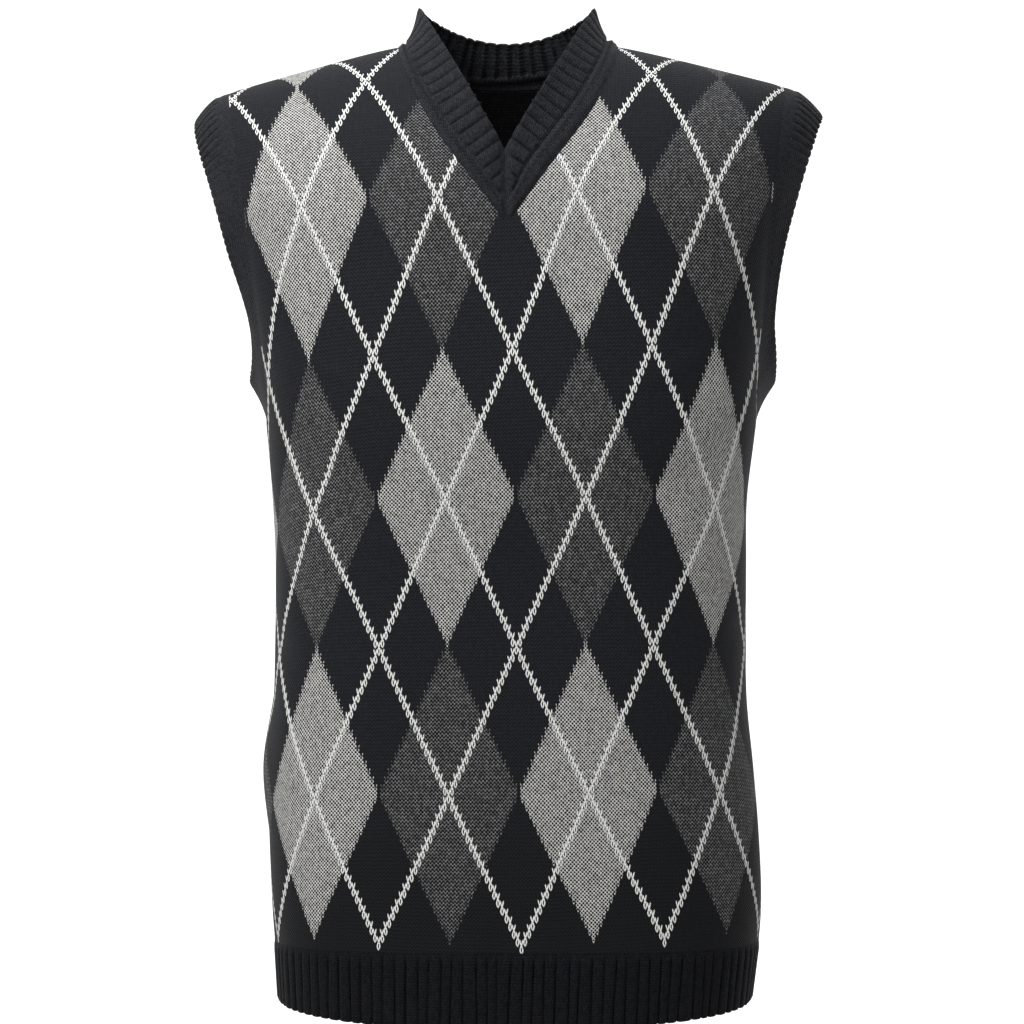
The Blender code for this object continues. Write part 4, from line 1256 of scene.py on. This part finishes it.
def add_camera():
    """Level with the middle of the vest, straight in front."""
    data = bpy.data.cameras.new("camera")
    data.sensor_width = 36.0
    data.lens = data.sensor_width * CAMERA_DISTANCE / VIEW_WIDTH
    data.clip_start = 0.05
    data.clip_end = 100.0
    camera = bpy.data.objects.new("camera", data)
    camera.location = (0.0, -CAMERA_DISTANCE, CAMERA_LEVEL)
    camera.rotation_euler = (math.pi / 2, 0.0, 0.0)
    bpy.context.scene.collection.objects.link(camera)
    bpy.context.scene.camera = camera


def add_area_light(name, location, target, size, power, colour):
    """A soft box that points at the target."""
    data = bpy.data.lights.new(name, "AREA")
    data.shape = "SQUARE"
    data.size = size
    data.energy = power
    data.color = colour
    light = bpy.data.objects.new(name, data)
    light.location = location
    aim = np.array(target) - np.array(location)
    yaw = math.atan2(aim[0], aim[1])
    pitch = math.atan2(aim[2], math.hypot(aim[0], aim[1]))
    light.rotation_euler = (math.pi / 2 + pitch, 0.0, -yaw)
    light.visible_camera = False
    bpy.context.scene.collection.objects.link(light)


def add_stage(name, corners, shade, glow):
    """A flat part of the studio between four corners, painted a matt grey."""
    tool = bmesh.new()
    bmesh.ops.create_grid(tool, x_segments=1, y_segments=1, size=1.0)
    for vert, corner in zip(sorted(tool.verts, key=lambda v: (v.co.y, v.co.x)), corners):
        vert.co = corner
    mesh = bpy.data.meshes.new(name)
    tool.to_mesh(mesh)
    tool.free()
    piece = bpy.data.objects.new(name, mesh)
    bpy.context.scene.collection.objects.link(piece)
    material = bpy.data.materials.new(name + "_paint")
    material.use_nodes = True
    shader = material.node_tree.nodes["Principled BSDF"]
    shader.inputs["Base Color"].default_value = (shade, shade, shade, 1.0)
    shader.inputs["Roughness"].default_value = 0.9
    shader.inputs["Emission Color"].default_value = (*WHITE, 1.0)
    shader.inputs["Emission Strength"].default_value = glow
    mesh.materials.append(material)


def add_studio():
    """A pale floor well below the hem, a lit white wall far behind, and soft light all round."""
    low, reach, far = FLOOR_LEVEL, FLOOR_REACH, WALL_PLACE
    floor = [(x, y, low) for y in (-reach, reach) for x in (-reach, reach)]
    wall = [(x, far, z) for z in (low, WALL_TOP) for x in (-WALL_REACH, WALL_REACH)]
    add_stage("studio_floor", floor, FLOOR_SHADE, 0.0)
    add_stage("studio_wall", wall, WALL_SHADE, WALL_GLOW)
    world = bpy.data.worlds.new("studio_surround")
    world.use_nodes = True
    backdrop = world.node_tree.nodes["Background"]
    backdrop.inputs["Color"].default_value = (*WHITE, 1.0)
    backdrop.inputs["Strength"].default_value = AMBIENT
    bpy.context.scene.world = world
    add_area_light("key", (-0.8, -0.9, 0.9), (0.0, 0.0, -0.25), 1.0, 29.0, WHITE)
    add_area_light("top", (0.0, -0.35, 1.3), (0.0, 0.0, 0.0), 0.8, 7.0, (0.93, 0.96, 1.0))
    bpy.context.scene.view_settings.view_transform = "Standard"


def main():
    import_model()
    add_camera()
    jersey = argyle_jersey()
    inside = jersey_inside()
    rib = black_rib("black_rib_knit", "#121316", "#2b2c32", 0.12)
    # The welt's copy of the rib: the same yarn with darker colours, painted shade for the hem, and
    # less gloss.
    welt = black_rib("black_welt_knit_painted_shade", "#0f1012", "#1d1e22", 0.05)
    panels = {side: Panel(side) for side in ("front", "back")}
    for side, panel in panels.items():
        name = side + "_panel"
        piece = add_panel(name + "_cloth", panel, jersey, inside)
        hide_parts(name)
        add_welt("hem_rib_" + side, panel, welt)
    add_neckband(panels["front"], panels["back"], rib)
    for half, side in enumerate(("left", "right")):
        add_armband("armband_" + side, half, panels["front"], panels["back"], rib)
    add_studio()


main()
